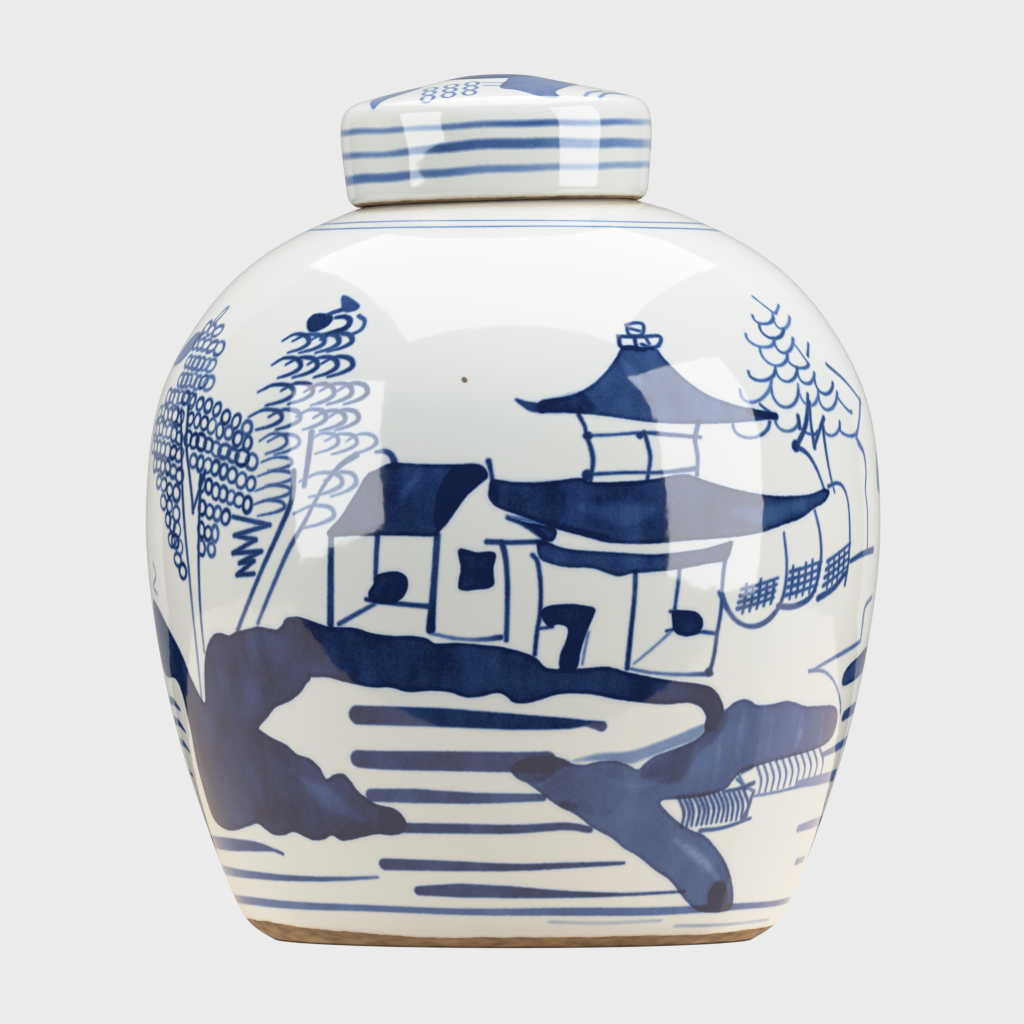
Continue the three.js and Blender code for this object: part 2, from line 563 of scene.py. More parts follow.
class View:
    """Brushwork on a canvas as it looks straight on from one side, in millimetres across and up."""

    def __init__(self, canvas, facing=0.0, seed=1):
        self.canvas = canvas
        self.facing = facing
        self.random = np.random.default_rng(seed)

    def places(self, points):
        return self.canvas.front(points, self.facing)

    def pen(self, points, width, tone, layer="line"):
        """A brush stroke through points."""
        self.canvas.stroke(layer, self.places(curved(points)), width, tone)

    def area(self, points, tone, layer="wash"):
        """A soft-cornered patch of paint."""
        self.canvas.fill(layer, self.places(curved(points, closed=True)), tone)

    def blot(self, centre, radius, tone):
        """A dot, as one tight loop of the brush."""
        self.ring(centre, radius * 0.5, radius * 0.45, 0, radius, tone)

    def ring(self, centre, wide, tall, lean, width, tone):
        """A loop of the brush round a centre, leaning to the right by lean degrees."""
        place = self.places([centre])[0]
        self.ring_at(place, wide, tall, lean, width, tone)

    def ring_at(self, place, wide, tall, lean, width, tone):
        start = self.random.uniform(0, 2 * math.pi)
        turn = start + np.linspace(0, 2 * math.pi, 17)
        lean = math.radians(lean)
        across, up = wide * np.sin(turn), tall * np.cos(turn)
        radius = np.interp(place[1], self.canvas.along, self.canvas.radius)
        leaning = across * math.cos(lean) + up * math.sin(lean)
        rising = up * math.cos(lean) - across * math.sin(lean)
        loop = np.stack([place[0] + leaning / radius, place[1] + rising], 1)
        self.canvas.stroke("line", loop, (width, width * 1.25, width * 0.85), tone)


def loop_row(view, start, end, count, tone, arch, plump=1.0):
    """A bough of leaves, each one loop of the brush."""
    places = view.places([start, end])
    for k in range(count):
        t = k / max(count - 1, 1)
        place = places[0] * (1 - t) + places[1] * t
        place[1] += arch * 4 * t * (1 - t) + view.random.uniform(-0.4, 0.4)
        wide, tall = view.random.uniform(1.5, 2.0), view.random.uniform(1.7, 2.2)
        view.ring_at(place, wide * plump, tall, view.random.uniform(-15, 40),
                     view.random.uniform(0.7, 1.15), tone + view.random.uniform(-0.15, 0.12))


def loop_tree(view):
    """A broad-leaved tree: boughs of looped leaves both sides of a thin double trunk."""
    boughs = [
        ((-87.2, 148.4), (-72, 140.6), 7, 1), ((-87.8, 143.4), (-71.8, 136.6), 8, 0.8),
        ((-88.5, 138), (-70.6, 131.6), 9, 0.6), ((-86.9, 132), (-70.8, 125.8), 8, 0.5),
        ((-84.4, 125.4), (-71.8, 119.8), 7, 0.4), ((-84.4, 119.2), (-77.8, 116.4), 4, 0.3),
        ((-84.6, 113.4), (-80.8, 111.8), 3, 0), ((-84.6, 108.2), (-81.8, 107.6), 2, 0),
        ((-83.8, 168.6), (-80.8, 167.2), 3, 0), ((-86.8, 164.2), (-80, 162.8), 5, 0.4),
        ((-88.9, 159.2), (-82.2, 158), 6, 0.2), ((-90.9, 154.2), (-82.8, 153), 7, 0.2),
        ((-94.4, 149.8), (-87.8, 148.4), 6, 0.2), ((-97, 145.4), (-90.8, 143.6), 6, 0.3),
        ((-98.3, 141), (-91, 138.4), 7, 0.5), ((-98.9, 136.4), (-91, 133.2), 7, 0.5),
        ((-98.2, 131.4), (-90.9, 128.2), 6, 0.4), ((-97, 126.2), (-91.8, 123), 4, 0.2),
        ((-95.6, 120.8), (-91.8, 117.8), 3, 0), ((-94.2, 115.6), (-91.6, 113), 3, 0),
        ((-93.2, 110.6), (-91, 108.6), 3, 0), ((-91.4, 105), (-90, 102.2), 2, 0),
    ]
    for start, end, count, arch in boughs:
        # the boughs at the top are paler, and they and the ones at the edge are plumper
        high = start[1] > 150
        plump = 1.4 if high or start[0] < -88 else 1.0
        loop_row(view, start, end, count, 0.62 if high else 0.8, arch, plump)
    view.ring((-80, 171.8), 1.2, 3.2, 32, 0.8, 0.6)
    view.pen([(-90.6, 146), (-90.3, 132), (-89.7, 118), (-88.3, 103), (-87.3, 92), (-86, 79),
              (-84.8, 66)], (1.2, 1.3, 1, 0.8), (0.8, 0.8, 0.45, 0.35))
    view.pen([(-88.4, 147), (-89, 137), (-88, 128), (-87.2, 121), (-87, 118)], (1.6, 1.2, 1.4), 0.8)
    view.pen([(-83.6, 129), (-85.2, 124), (-86.8, 119)], (1.6, 1.1), 0.8)
    view.pen([(-84.8, 128), (-85.2, 117), (-85.4, 103), (-84.9, 90), (-84, 80)], (1.5, 1.1, 0.8),
             (0.85, 0.8, 0.4))


def hook(view, tip_x, right_x, z, drop, tone, heavy):
    """One bent needle stroke of a fir: out from its tip, round, and back underneath."""
    wide = right_x - tip_x
    widths = [heavy * width for width in (0.7, 1, 1.5, 1.6, 1.1, 0.7)]
    view.pen([
        (tip_x, z + 0.10 * drop), (tip_x + 0.45 * wide, z + 0.48 * drop),
        (right_x - 0.10 * wide, z + 0.40 * drop),
        (right_x, z - 0.02 * drop), (right_x - 0.30 * wide, z - 0.36 * drop),
        (tip_x + 0.22 * wide, z - 0.60 * drop),
    ], widths, tone)


def fir_tree(view):
    """A tall fir painted as rows of hooked strokes on two long leaning stems."""
    rows = [
        (-62.4, 163.8, 4.6, (-55.2, -51, -47, -43.4), 0.75, 1),
        (-65.2, 157.4, 5, (-57.4, -52.8, -47.4, -43.2), 0.8, 1),
        (-69, 150.2, 5.2, (-59.2, -54, -48.2, -43.4, -39.2), 0.8, 0.95),
        (-71.5, 143.2, 5, (-62.4, -57.4, -50.4, -45.2, -41.6), 0.75, 0.9),
        (-68.5, 136.6, 5, (-61, -57.6, -47, -42, -36.8), 0.65, 0.7),
        (-57.4, 125.6, 6, (-46, -42.2), 0.6, 0.85), (-59, 117.4, 5.6, (-48.2,), 0.6, 0.85),
        (-68, 131.4, 3.4, (-59.6,), 0.7, 0.6), (-69, 127.6, 3.6, (-59.2,), 0.7, 0.6),
        (-69.6, 123.6, 3.6, (-60,), 0.7, 0.6), (-71, 119.6, 3.8, (-61.6,), 0.75, 0.65),
    ]
    for tip_x, z, drop, ends, tone, heavy in rows:
        for k, right_x in enumerate(ends):
            start = tip_x if k == 0 else right_x - 8.0 - 0.6 * (k % 2)
            hook(view, start, right_x, z + view.random.uniform(-0.3, 0.3), drop, tone, heavy)
    corners = [(-75.8, 116.8), (-65.6, 114.6), (-75.4, 111.7), (-69.4, 110.6), (-75.8, 106.9),
               (-67.9, 107.5), (-74, 104.2), (-69.9, 104.9), (-74.7, 101), (-70, 101.4)]
    for first, last in zip(corners, corners[1:]):
        view.pen([first, last], (1.2, 2, 1.4), 0.8)
    view.area([(-46.2, 176.6), (-44, 176), (-41.4, 173.9), (-42.4, 172.5), (-45.4, 172), (-46.4, 174)],
              0.72, "line")
    view.area([(-55.8, 169.2), (-54.2, 171.4), (-51.4, 171.8), (-48.6, 170.8), (-50.2, 168.2),
               (-54.6, 166.6)], 0.95, "line")
    view.pen([(-45.8, 172.8), (-48.5, 172), (-51, 171)], (1.6, 1.4), 0.8)
    view.pen([(-47.8, 170.6), (-45.4, 170.8), (-44, 169.6), (-45.4, 167.6), (-50.4, 166)],
             (1.2, 1.6, 1.9, 1.6), 0.85)
    view.pen([(-41.6, 171), (-40, 169.6), (-41, 167.2), (-44.2, 165.9), (-47.2, 166.2)], (1.3, 1.1, 0.9),
             0.7)
    view.pen([(-59, 129), (-59.6, 121.5), (-63, 113), (-67.6, 103), (-71.8, 93), (-74.6, 86)],
             (1.7, 1.5, 1.3, 1.2), (0.85, 0.8, 0.6))
    view.pen([(-42, 133.5), (-46.4, 130.6), (-51, 125), (-56, 115.6), (-60.6, 107.6), (-65, 97.6),
              (-69, 88)], (1.8, 1, 1.3, 1), (0.7, 0.75, 0.6))
    view.pen([(-54.2, 139.6), (-55, 133), (-56.2, 125.2)], (1.9, 1.5), 0.7)


def left_house(view):
    """A small house: one slope of roof, three posts, a round and a square window."""
    view.area([
        (-50, 111.9), (-46.2, 117), (-42, 123.6), (-39.4, 128), (-36.4, 129.6), (-32.4, 131.3),
        (-25, 131), (-15, 130.9), (-9.2, 130.9), (-7.2, 129.2), (-6.9, 127.4), (-9.4, 125.2),
        (-13, 121.8), (-16.6, 116.6), (-19.8, 112.8), (-21.4, 111.6), (-30, 111.8), (-42, 111.8),
    ], 0.86)
    view.area([
        (-6.9, 127.6), (-8.2, 130.4), (-12, 131), (-16.4, 129.6), (-19.4, 125), (-20.8, 119.4),
        (-20.6, 114), (-18.8, 114), (-16, 117.8), (-12.6, 122.6), (-9.2, 125.6),
    ], 0.7, "accent")
    view.pen([(-32.4, 118.4), (-29, 123.4), (-25, 128.6)], (1.6, 3.4, 1.8), 0.28, "light")
    view.pen([(-36.8, 134.2), (-34.2, 134.4), (-32.4, 133), (-31.6, 130.6)], (0.9, 1.6, 2), 0.75)
    view.pen([(-48.9, 112), (-49, 100), (-49.1, 88)], (1.6, 1.9, 2), 0.85)
    view.pen([(-36.3, 112), (-36.7, 106), (-36.9, 100)], (1.5, 1.3, 1.2), 0.85)
    view.pen([(-20.3, 112), (-20.8, 104), (-21.5, 95), (-22.1, 86.6)], (1.8, 1.7, 1.9, 2.5),
             (0.85, 0.85, 1))
    view.area([(-36.6, 101.2), (-31.6, 102.2), (-28.8, 101), (-28.2, 98.2), (-29.6, 95.2), (-32.6, 93.7),
               (-37, 93.8), (-38.9, 96), (-37.6, 98.6)], 1)
    view.pen([(-39.4, 94.7), (-36, 94.1), (-29, 93.4), (-21.8, 92.8)], (1.2, 1.2, 1.4), 0.85)
    view.pen([(-37.2, 93.4), (-41.6, 91), (-46.8, 88)], (1, 1.3), 0.7)
    view.pen([(-22, 85.6), (-15, 84.2), (-8.4, 84), (-3.4, 84.6)], (0.9, 0.9, 1.5), (0.5, 0.5, 0.9))
    view.area([(-14.6, 108.2), (-10, 107.4), (-4.8, 107.3), (-5.3, 103), (-5.3, 98.4), (-9.6, 97.4),
               (-14.5, 97.6), (-14, 103)], 1)
    view.pen([(-7, 110.2), (0, 110), (8.2, 110.3)], (1.5, 1.2, 1.3), 0.85)
    view.pen([(-3, 110), (-1.9, 105), (-1.5, 97), (-1.8, 83.8)], (1.7, 1.3, 1.3), 0.82)


def pagoda_roofs(view):
    """Two upturned roofs and a lower eave, one over the other."""
    view.area([
        (6.9, 147.6), (10, 148.5), (14, 149.1), (18, 150.4), (22, 153), (25.2, 156.2), (27.6, 159.6),
        (29, 162), (31.2, 163), (35, 162.4), (38.6, 162), (40, 160.2), (43.4, 156.6), (47.4, 153),
        (52.2, 149.8), (58, 147.6), (64, 146), (70, 144.8), (70.4, 143.4), (66, 142.7), (58, 142),
        (48, 141.8), (40, 142), (33, 142.7), (26, 143.7), (18, 144.5), (10, 144.8), (7.2, 144.8),
    ], 0.74)
    view.area([(7.2, 147.8), (12, 148.9), (18, 150.4), (20, 149), (22, 145.2), (14, 144.7), (8, 144.8)],
              0.35, "accent")
    view.pen([(0.9, 148.2), (2.8, 147.2), (4.8, 146.4), (7.4, 146)], (0.8, 1.6, 2.6, 2.8), 0.85)
    view.pen([(63.6, 145.4), (67, 144.6), (71, 143.9)], (1.8, 1.8, 2.2), 0.95)
    view.pen([(66.6, 147.2), (68.6, 145.6), (70.4, 144.4)], (0.7, 1), 0.8)
    for points, width in (
        ([(30.4, 168.4), (32.4, 169), (35, 168.6), (34.6, 165.8), (31.4, 165.8), (30.4, 168.2)], 1),
        ([(31.6, 167.4), (34.2, 166.8)], 0.9),
        ([(28.2, 165.4), (33.4, 165.2), (39.4, 165.4), (39.2, 163), (37, 162.4), (34.6, 163.2)], 1.1),
        ([(28.4, 165), (29, 162.6), (32, 162.2), (35.2, 161.8)], 1.2),
        ([(32.6, 165.4), (33.2, 161.8)], 1.2), ([(35.6, 165.2), (36.6, 163.4)], 1),
    ):
        view.pen(points, width, 0.85)
    view.area([
        (-6.6, 124), (-5.4, 126.8), (0, 126.2), (6, 126.1), (12, 126.6), (18, 127.3), (21, 126.2),
        (30, 126.3), (38, 127), (46, 128.3), (52, 126.5), (58, 124.7), (65, 123.2), (72, 122.4),
        (80, 122.8), (84.6, 124.4), (86, 123.2), (84.4, 120.6), (81.6, 119), (78, 116.4), (73, 114.6),
        (67, 112.6), (60, 111.4), (52, 110.8), (44, 110.2), (36, 109.6), (26, 109.9), (20, 111.4),
        (12, 113.6), (5, 116.1), (-0.6, 118), (-4.6, 119.6), (-6.4, 121.8),
    ], 0.86)
    view.pen([(-6.6, 131.8), (-5.8, 128.6), (-5.4, 125.4), (-4.8, 121.4)], (1.6, 1, 1.4, 1.6), 0.85)
    view.area([(-6.2, 124.6), (-4, 126.6), (4, 126), (12, 126.4), (14, 122), (12, 115), (4, 116.6),
               (-3.6, 119.6)], 0.2, "accent")
    view.pen([(29.6, 158.6), (33.4, 153.6), (36.8, 149.4)], (2, 4, 2.4), 0.4, "light")
    view.pen([(58, 118.6), (68, 117.2), (78, 120.2)], (3, 7, 4), 0.26, "light")
    view.pen([(18, 119.6), (29, 117.6), (38, 119)], (3, 8, 4), 0.2, "light")
    view.pen([(-1.6, 116.9), (6, 115.6), (13, 113.9), (20, 112.2), (25, 111)], (0.9, 1, 1.5, 1.6), 0.5)
    view.area([(2.4, 115.4), (6, 113.2), (8.6, 110.5), (11, 110.6), (11.4, 113.6), (6.6, 114.9)], 0.85)
    view.pen([(-1.4, 116.7), (3, 114.8), (8, 111.4)], (1.3, 1.2), 0.85)
    view.area([
        (6.4, 109.8), (8.6, 110.4), (12, 109), (16, 108.1), (23, 107.6), (31, 107.1), (38, 106.8),
        (45, 107.4), (52, 108.4), (58.6, 110.2), (58.9, 108.8), (57.4, 105.2), (52, 104.2), (46, 103),
        (38, 102.1), (32, 101.7), (28.6, 100.9), (25.2, 101.7), (21, 103.1), (14, 103.4), (9.4, 104.5),
        (7, 106),
    ], 0.82)


def pagoda_posts(view):
    """Posts, rails, the doorway and the round window."""
    slimmer = 0.84
    strokes = [
        ([(17.6, 144.2), (19.2, 141), (19.6, 138.6), (20.8, 135.4), (21.4, 131.6), (20.7, 126.6)],
         (1.4, 1.1, 1.6, 1.3), 0.82),
        ([(35.2, 139.6), (36.2, 136), (36.8, 132.4), (36, 126.8)], (1.3, 1.5, 1.2), 0.8),
        ([(49.8, 142), (48.9, 137.6), (49.6, 133), (49.4, 128)], (1.8, 1.5, 1.4), 0.75),
        ([(19, 138.6), (26, 138.8), (35, 139.4), (43, 138.8), (50.4, 138.2)], (1, 0.8, 1.4, 1.2), 0.78),
        ([(19.4, 128.2), (24, 128.4), (31, 128.7), (40, 128.8), (49.2, 129.8)], (1.3, 1, 1, 1.6), 0.8),
        ([(5.2, 106.6), (6.6, 104.6), (7.4, 98), (7.2, 91), (6.4, 86), (5.8, 80)], (1.5, 1.3, 1.4), 0.85),
        ([(32.8, 102), (32.6, 96), (31.6, 86), (30.6, 76.2)], (1.4, 1.5, 1.7), 0.85),
        ([(44.8, 103.8), (44.2, 98), (43.4, 92)], (1.3, 1.1), 0.78),
        ([(58.4, 109.6), (57, 104.6), (56.3, 98.6), (56, 92), (54.8, 84.6), (54, 79), (52.8, 74.6)],
         (1.5, 1.3, 1.4), 0.8),
        ([(48.6, 85.9), (51.6, 85.8), (54.8, 85.3)], 1.2, 0.8),
        ([(42.4, 86), (38, 82), (32.4, 77.4)], (0.9, 0.6), 0.45),
        ([(31, 76.2), (37, 75), (45, 74.4), (53.4, 74.5)], (0.9, 0.9, 1.4), (0.55, 0.5, 0.75)),
        ([(20.2, 86), (19.2, 81), (18.6, 77.4)], 0.7, 0.5), ([(6.6, 86.9), (10.6, 87.4)], 1, 0.8),
        ([(42.2, 91.4), (44.4, 91)], 1.1, 0.85), ([(41.2, 86.2), (43.4, 86.6)], 1, 0.8),
    ]
    for points, width, tone in strokes:
        view.pen(points, slimmer * np.array(width), tone)
    for centre, radius in (((20, 138.6), 1.2), ((20, 128.1), 1.5), ((34, 138.7), 1), ((52.6, 75), 1.2)):
        view.blot(centre, radius, 0.85)
    view.area([(7.6, 91.4), (9.4, 93), (15, 93.5), (19.6, 93), (22, 92.2), (21.2, 89.4), (19.6, 85.6),
               (18, 80.6), (17.2, 76.6), (15, 75.2), (12.6, 76.4), (12.6, 79.8), (14.2, 83.6), (14.6, 87),
               (12.4, 88), (9.6, 87.6), (8, 89.2)], 0.92)
    view.area([(12.8, 76.4), (13, 80), (14.8, 84.2), (17.2, 84.4), (17.6, 79.8), (16.6, 76.2)], 0.6,
              "accent")
    view.area([(43, 91.4), (46, 91.7), (49, 91.3), (50.8, 89.6), (51, 87.2), (49.2, 85.2), (46.2, 84.7),
               (43.6, 85.8), (42.7, 88.6)], 0.95)


def scallop_tree(view):
    """A tree of overlapping scallops with open space between them."""
    arcs = [
        ((65.2, 176.6), (67.6, 174.4), (70.8, 172.2)), ((72.4, 174.4), (73.5, 172.9), (71.4, 172.2)),
        ((65, 171.4), (68.2, 169.1), (70.8, 171)), ((70.6, 171.8), (74.2, 167.8), (75.4, 171.2)),
        ((66.8, 168.8), (70.2, 165.2), (73.6, 167.8)), ((63, 166.2), (67.4, 162.8), (70.9, 164.6)),
        ((70.8, 165.4), (74.2, 161.2), (76.2, 165.2)), ((76.3, 163.8), (79.6, 161.2), (80.4, 158.2)),
        ((80.5, 164), (81.8, 162), (80.2, 160.6)), ((66.8, 162.6), (70.6, 157.8), (74.5, 160.8)),
        ((74.6, 159.6), (78.2, 157.2), (80.4, 158.4)), ((63.6, 156), (67.4, 153.6), (71, 156.4)),
        ((71, 157.6), (74.8, 153.4), (77.2, 157.2)), ((77.2, 156.4), (80.4, 152.9), (82, 155.8)),
        ((82, 154.4), (86.2, 150.2), (87.2, 153.2)), ((61.2, 151), (66, 147.9), (69.9, 153.8)),
        ((69.8, 152), (74, 146.4), (77.4, 151.2)), ((77.3, 152.6), (80.8, 147), (83, 150.8)),
        ((83, 150.2), (86.6, 145.8), (88.4, 150.6)), ((88.3, 150), (90.2, 146.8), (92.6, 145.4)),
        ((70.8, 143.4), (74.8, 139.9), (77.4, 143.2)), ((77.5, 141.6), (80.2, 139.3), (82.6, 139.8)),
        ((84.4, 141.2), (87, 138.8), (89, 141.8)), ((89, 140.8), (91.8, 138.8), (94, 140)),
        ((59.2, 141.6), (64, 138.1), (69.3, 142.3)),
    ]
    for start, low, end in arcs:
        turn = np.linspace(0, math.pi, 9)
        share = (1 - np.cos(turn)) / 2
        x = start[0] + share * (end[0] - start[0])
        level = start[1] + share * (end[1] - start[1])
        sag = (start[1] + end[1]) / 2 - low[1]
        arc = np.stack([x, level - sag * np.sin(turn)], 1)
        view.pen(arc, (1, view.random.uniform(0.7, 0.95), 1.25), view.random.uniform(0.5, 0.7))
    for points, width in (
        ([(80, 150), (79.8, 145), (79, 140.6), (77, 136.4)], (1.2, 1.8, 1.6)),
        ([(80.4, 148), (80.8, 142), (81.8, 135.6)], (1.4, 1.2, 1.6)),
        ([(84.4, 143.6), (83, 139.6), (81.8, 136)], (1.6, 1.2)),
        ([(84, 142.6), (84.8, 136), (86, 129), (87.4, 123.4)], (1.5, 1.1, 0.7)),
        ([(76, 136), (79.6, 134), (82.4, 129.6), (84.4, 124.4)], (1.6, 1.1, 0.9)),
        ([(77.2, 144), (77.6, 141)], 1.6), ([(89, 142.4), (89, 140.6)], 1.2),
    ):
        view.pen(points, width, 0.75)
    view.blot((76.6, 136), 1.7, 0.85)


def garden_panels(view):
    """Three rounded garden screens, cross-hatched at the foot."""
    outlines = [
        ([(55.8, 96.4), (57.6, 92.2), (60.2, 88.8), (64, 87.2), (68.2, 88.4), (71.6, 92), (73.4, 97),
          (74, 104), (73.2, 112.4)], (1.9, 1.3, 1.1, 1.6, 1.4, 1, 0.8)),
        ([(71.6, 92.6), (76, 92.5), (80.4, 94.8), (82.4, 99), (83.6, 106), (83.2, 112.6), (81.8, 118.4)],
         (1.6, 1.6, 1.2, 0.9)),
        ([(82.8, 94.6), (87, 97.2), (90.6, 101.4)], (1.9, 1.6)),
        ([(85.6, 125), (88.4, 125.9), (90.4, 123.8), (91.5, 118.8), (91.8, 110), (91.2, 103),
          (90.4, 98.2)], (1.1, 0.9, 1.2)),
    ]
    for points, width in outlines:
        view.pen(points, width, 0.68)
    grids = [
        ((61.8, 90.8), (69.6, 93.4), (1, 6.8), 5, (60.4, 92), (10, 3), 4, 1.75),
        ((74.8, 94.6), (82, 96.6), (0.9, 8), 5, (73.8, 95.6), (8.8, 2.8), 4, 2.1),
        ((85.2, 97.2), (91, 101.4), (0.6, 7), 5, (84.2, 98), (6.6, 5), 4, 2.2),
    ]
    for first, last, rise, uprights, corner, along, bars, gap in grids:
        for k in range(uprights):
            t = k / (uprights - 1)
            foot = np.array(first) * (1 - t) + np.array(last) * t
            reach = np.array(rise) * view.random.uniform(0.85, 1.15)
            view.pen([foot, foot + reach * 0.5 + (0.2, 0), foot + reach], (0.8, 1.2, 0.9), 0.72)
        for k in range(bars):
            start = np.array(corner) + (0.4 * k, gap * k)
            middle = start + np.array(along) * 0.5 - (0, 0.2)
            view.pen([start, middle, start + np.array(along)], (1.2, 0.9, 0.8), 0.66)


def front_banks(view):
    """The near shore under the houses, the spit of land on the right and the mass on the left."""
    view.area([
        (-62, 88), (-59.4, 89.8), (-56.4, 89.5), (-52, 88), (-49, 87.2), (-42.4, 87), (-38, 85.6),
        (-32, 84.9), (-27, 84.9), (-23, 84.2), (-20.8, 82.9), (-15, 83.1), (-9, 82.6), (-3, 82),
        (2.6, 80.6), (6.2, 79), (9, 76.4), (14, 76), (20, 76.3), (25.4, 76.6), (31, 75.1), (38, 73.6),
        (44.6, 72.5), (50, 71.8), (53.6, 70.6), (56, 67.6), (57, 63.4), (56.6, 58), (53, 56), (51.6, 60),
        (52, 63), (50.4, 65.6), (47, 66.8), (41, 66.4), (34, 67), (28, 67.8), (21, 69.2), (13, 69.4),
        (8.6, 68.2), (4.4, 67), (0.4, 67), (-2.2, 69), (-4.6, 69.6), (-9, 68.6), (-13, 68.5), (-17, 69.8),
        (-22, 70.2), (-28, 69.8), (-33, 71), (-38, 71), (-45, 72.4), (-50, 73.6), (-56, 74), (-61, 78),
    ], 0.9)
    view.area([
        (-84.1, 66), (-84, 72), (-83.8, 78), (-83, 81.8), (-81.4, 84.6), (-79.4, 85.2), (-77, 84.6),
        (-75, 85.6), (-71.6, 86.4), (-69, 87.1), (-65, 86.5), (-63.4, 86.5), (-61.4, 88.4), (-58, 88.6),
        (-56, 84), (-54.6, 74.2), (-55.8, 71.8), (-57.4, 69.4), (-60.4, 67), (-64.2, 65.3), (-66.4, 62.6),
        (-68.9, 59.7), (-68.2, 58.8), (-65.2, 56.9), (-61.2, 55), (-58.4, 52.6), (-55, 51.5),
        (-52.4, 49.3), (-50.4, 46), (-48.4, 47.2), (-45.8, 47.5), (-43.8, 45.6), (-42, 43), (-40, 41.4),
        (-37, 39.4), (-34.6, 38.8), (-31.6, 38), (-29.4, 35.8), (-28.8, 33.6), (-30, 31.6), (-33, 31),
        (-37, 31.2), (-41.4, 30.2), (-46, 29.3), (-49, 30.7), (-51, 29.6), (-54, 29.2), (-57, 30.4),
        (-59.6, 31.4), (-62, 30.4), (-65, 30.4), (-67.4, 31.9), (-69.6, 33.3), (-72, 32.5), (-76, 31.1),
        (-79, 31.3), (-81.6, 33.2), (-83.4, 37), (-86.4, 48), (-88.4, 59), (-90.6, 68.4), (-92.6, 72.4),
        (-95.6, 73.2), (-97.6, 81), (-99.1, 93), (-97.8, 92.4), (-94.8, 87), (-90.6, 79.4), (-87.8, 72.6),
    ], 0.9)
    view.pen([(-57, 46), (-50, 40.5), (-41, 35.4)], (3, 8, 4), 0.22, "light")
    view.area([(-36, 34), (-35.4, 37.4), (-33.4, 38.2), (-30.6, 36.6), (-29.2, 34), (-30.6, 31.8),
               (-34, 31.6)], 0.85, "accent")
    view.area([
        (-0.6, 49), (1, 50.9), (4.4, 52.1), (9, 52.6), (13, 52), (15.8, 50.6), (19, 50.2), (23, 51.1),
        (27.4, 51.2), (31, 50.1), (33.6, 48.8), (35.4, 50.4), (38.4, 52.5), (44, 54.5), (48.4, 56.2),
        (51.4, 58.6), (53.6, 62), (57.4, 64.8), (59.6, 66.6), (62, 67.5), (64.2, 67), (66, 65.9),
        (70, 66), (74, 66.8), (77, 66.2), (79.6, 65.2), (84, 65.2), (87.6, 65), (88.8, 62.6), (88, 58),
        (86, 55), (82, 53.2), (76, 51.6), (71, 50.5), (66, 49.2), (62, 47.8), (59.6, 45.6), (57.4, 43.2),
        (52, 41.4), (46, 40.7), (39.8, 40.2), (41.2, 37.6), (44.4, 34.6), (48, 32.2), (51.6, 30.6),
        (55, 27), (57.6, 23), (59.2, 18.6), (59.9, 13.6), (59.2, 10.2), (56, 9.2), (52, 9.4),
        (49.4, 10.2), (46.6, 13), (44.2, 16.2), (42, 18.8), (38, 21.6), (34, 25), (30, 27.4),
        (26.4, 30.4), (21.6, 33), (17, 36.6), (12, 39.2), (8, 42.2), (4, 45.2), (1, 46.6),
    ], 0.67)
    for points, width, tone in (
        ([(43.6, 29.6), (48.5, 26), (53, 21.8), (57, 16.4)], (1.6, 4.4, 3.6, 1.2), 0.6),
        ([(40.4, 23.2), (43.4, 20.4)], (1, 2.2, 1), 0.4),
        ([(48.2, 47.5), (49.4, 54)], (1.4, 3.2, 1.4), 0.35),
        ([(54.4, 46.4), (55.4, 53), (56, 58)], (1.4, 2.8, 1.4), 0.4),
        ([(60.6, 51), (62, 59), (62.6, 64.6)], (1.6, 4.2, 2), 0.42),
        ([(68.8, 52), (70.2, 63)], (2, 4.6, 2.4), 0.34),
        ([(76.6, 53.4), (78, 58), (78.6, 63.4)], (1.8, 4.6, 2), 0.5),
        ([(83.6, 55.6), (84.6, 62.6)], (1.8, 3.6, 1.8), 0.45),
        ([(24, 46.4), (33, 44.2), (41, 46.6)], (1.6, 3.4, 1.6), 0.25),
    ):
        view.pen(points, width, tone, "light")
    view.area([(16, 51.2), (23, 53.2), (31, 53.7), (38, 55.8), (45, 58.4), (51.4, 60.8), (50, 57.4),
               (43, 54.6), (36, 52), (31, 50.4), (24, 51.4)], 0.42, "accent")
    for points, tone in (
        ([(-0.4, 49), (3, 51.6), (9, 52.4), (15.4, 50.8), (12, 47), (6, 45.4), (2, 46.6)], 0.42),
        ([(12.4, 39.4), (14, 41.4), (18.6, 40.6), (18.2, 38.4), (15, 38)], 0.45),
        ([(53.2, 15), (55.4, 17.8), (57.6, 17.2), (58.2, 13), (56.6, 9.8), (54, 9.8), (52.9, 12)], 0.7),
        ([(44, 45), (50, 53), (54, 56), (57, 60), (58, 64), (52, 60), (44, 54), (38, 51), (34, 47)],
         0.26),
        ([(8, 43.4), (16, 38.6), (24, 36), (30, 41), (29, 48.6), (22, 49.6), (13, 50.4), (9, 47)], 0.1),
    ):
        view.area(points, tone, "accent")


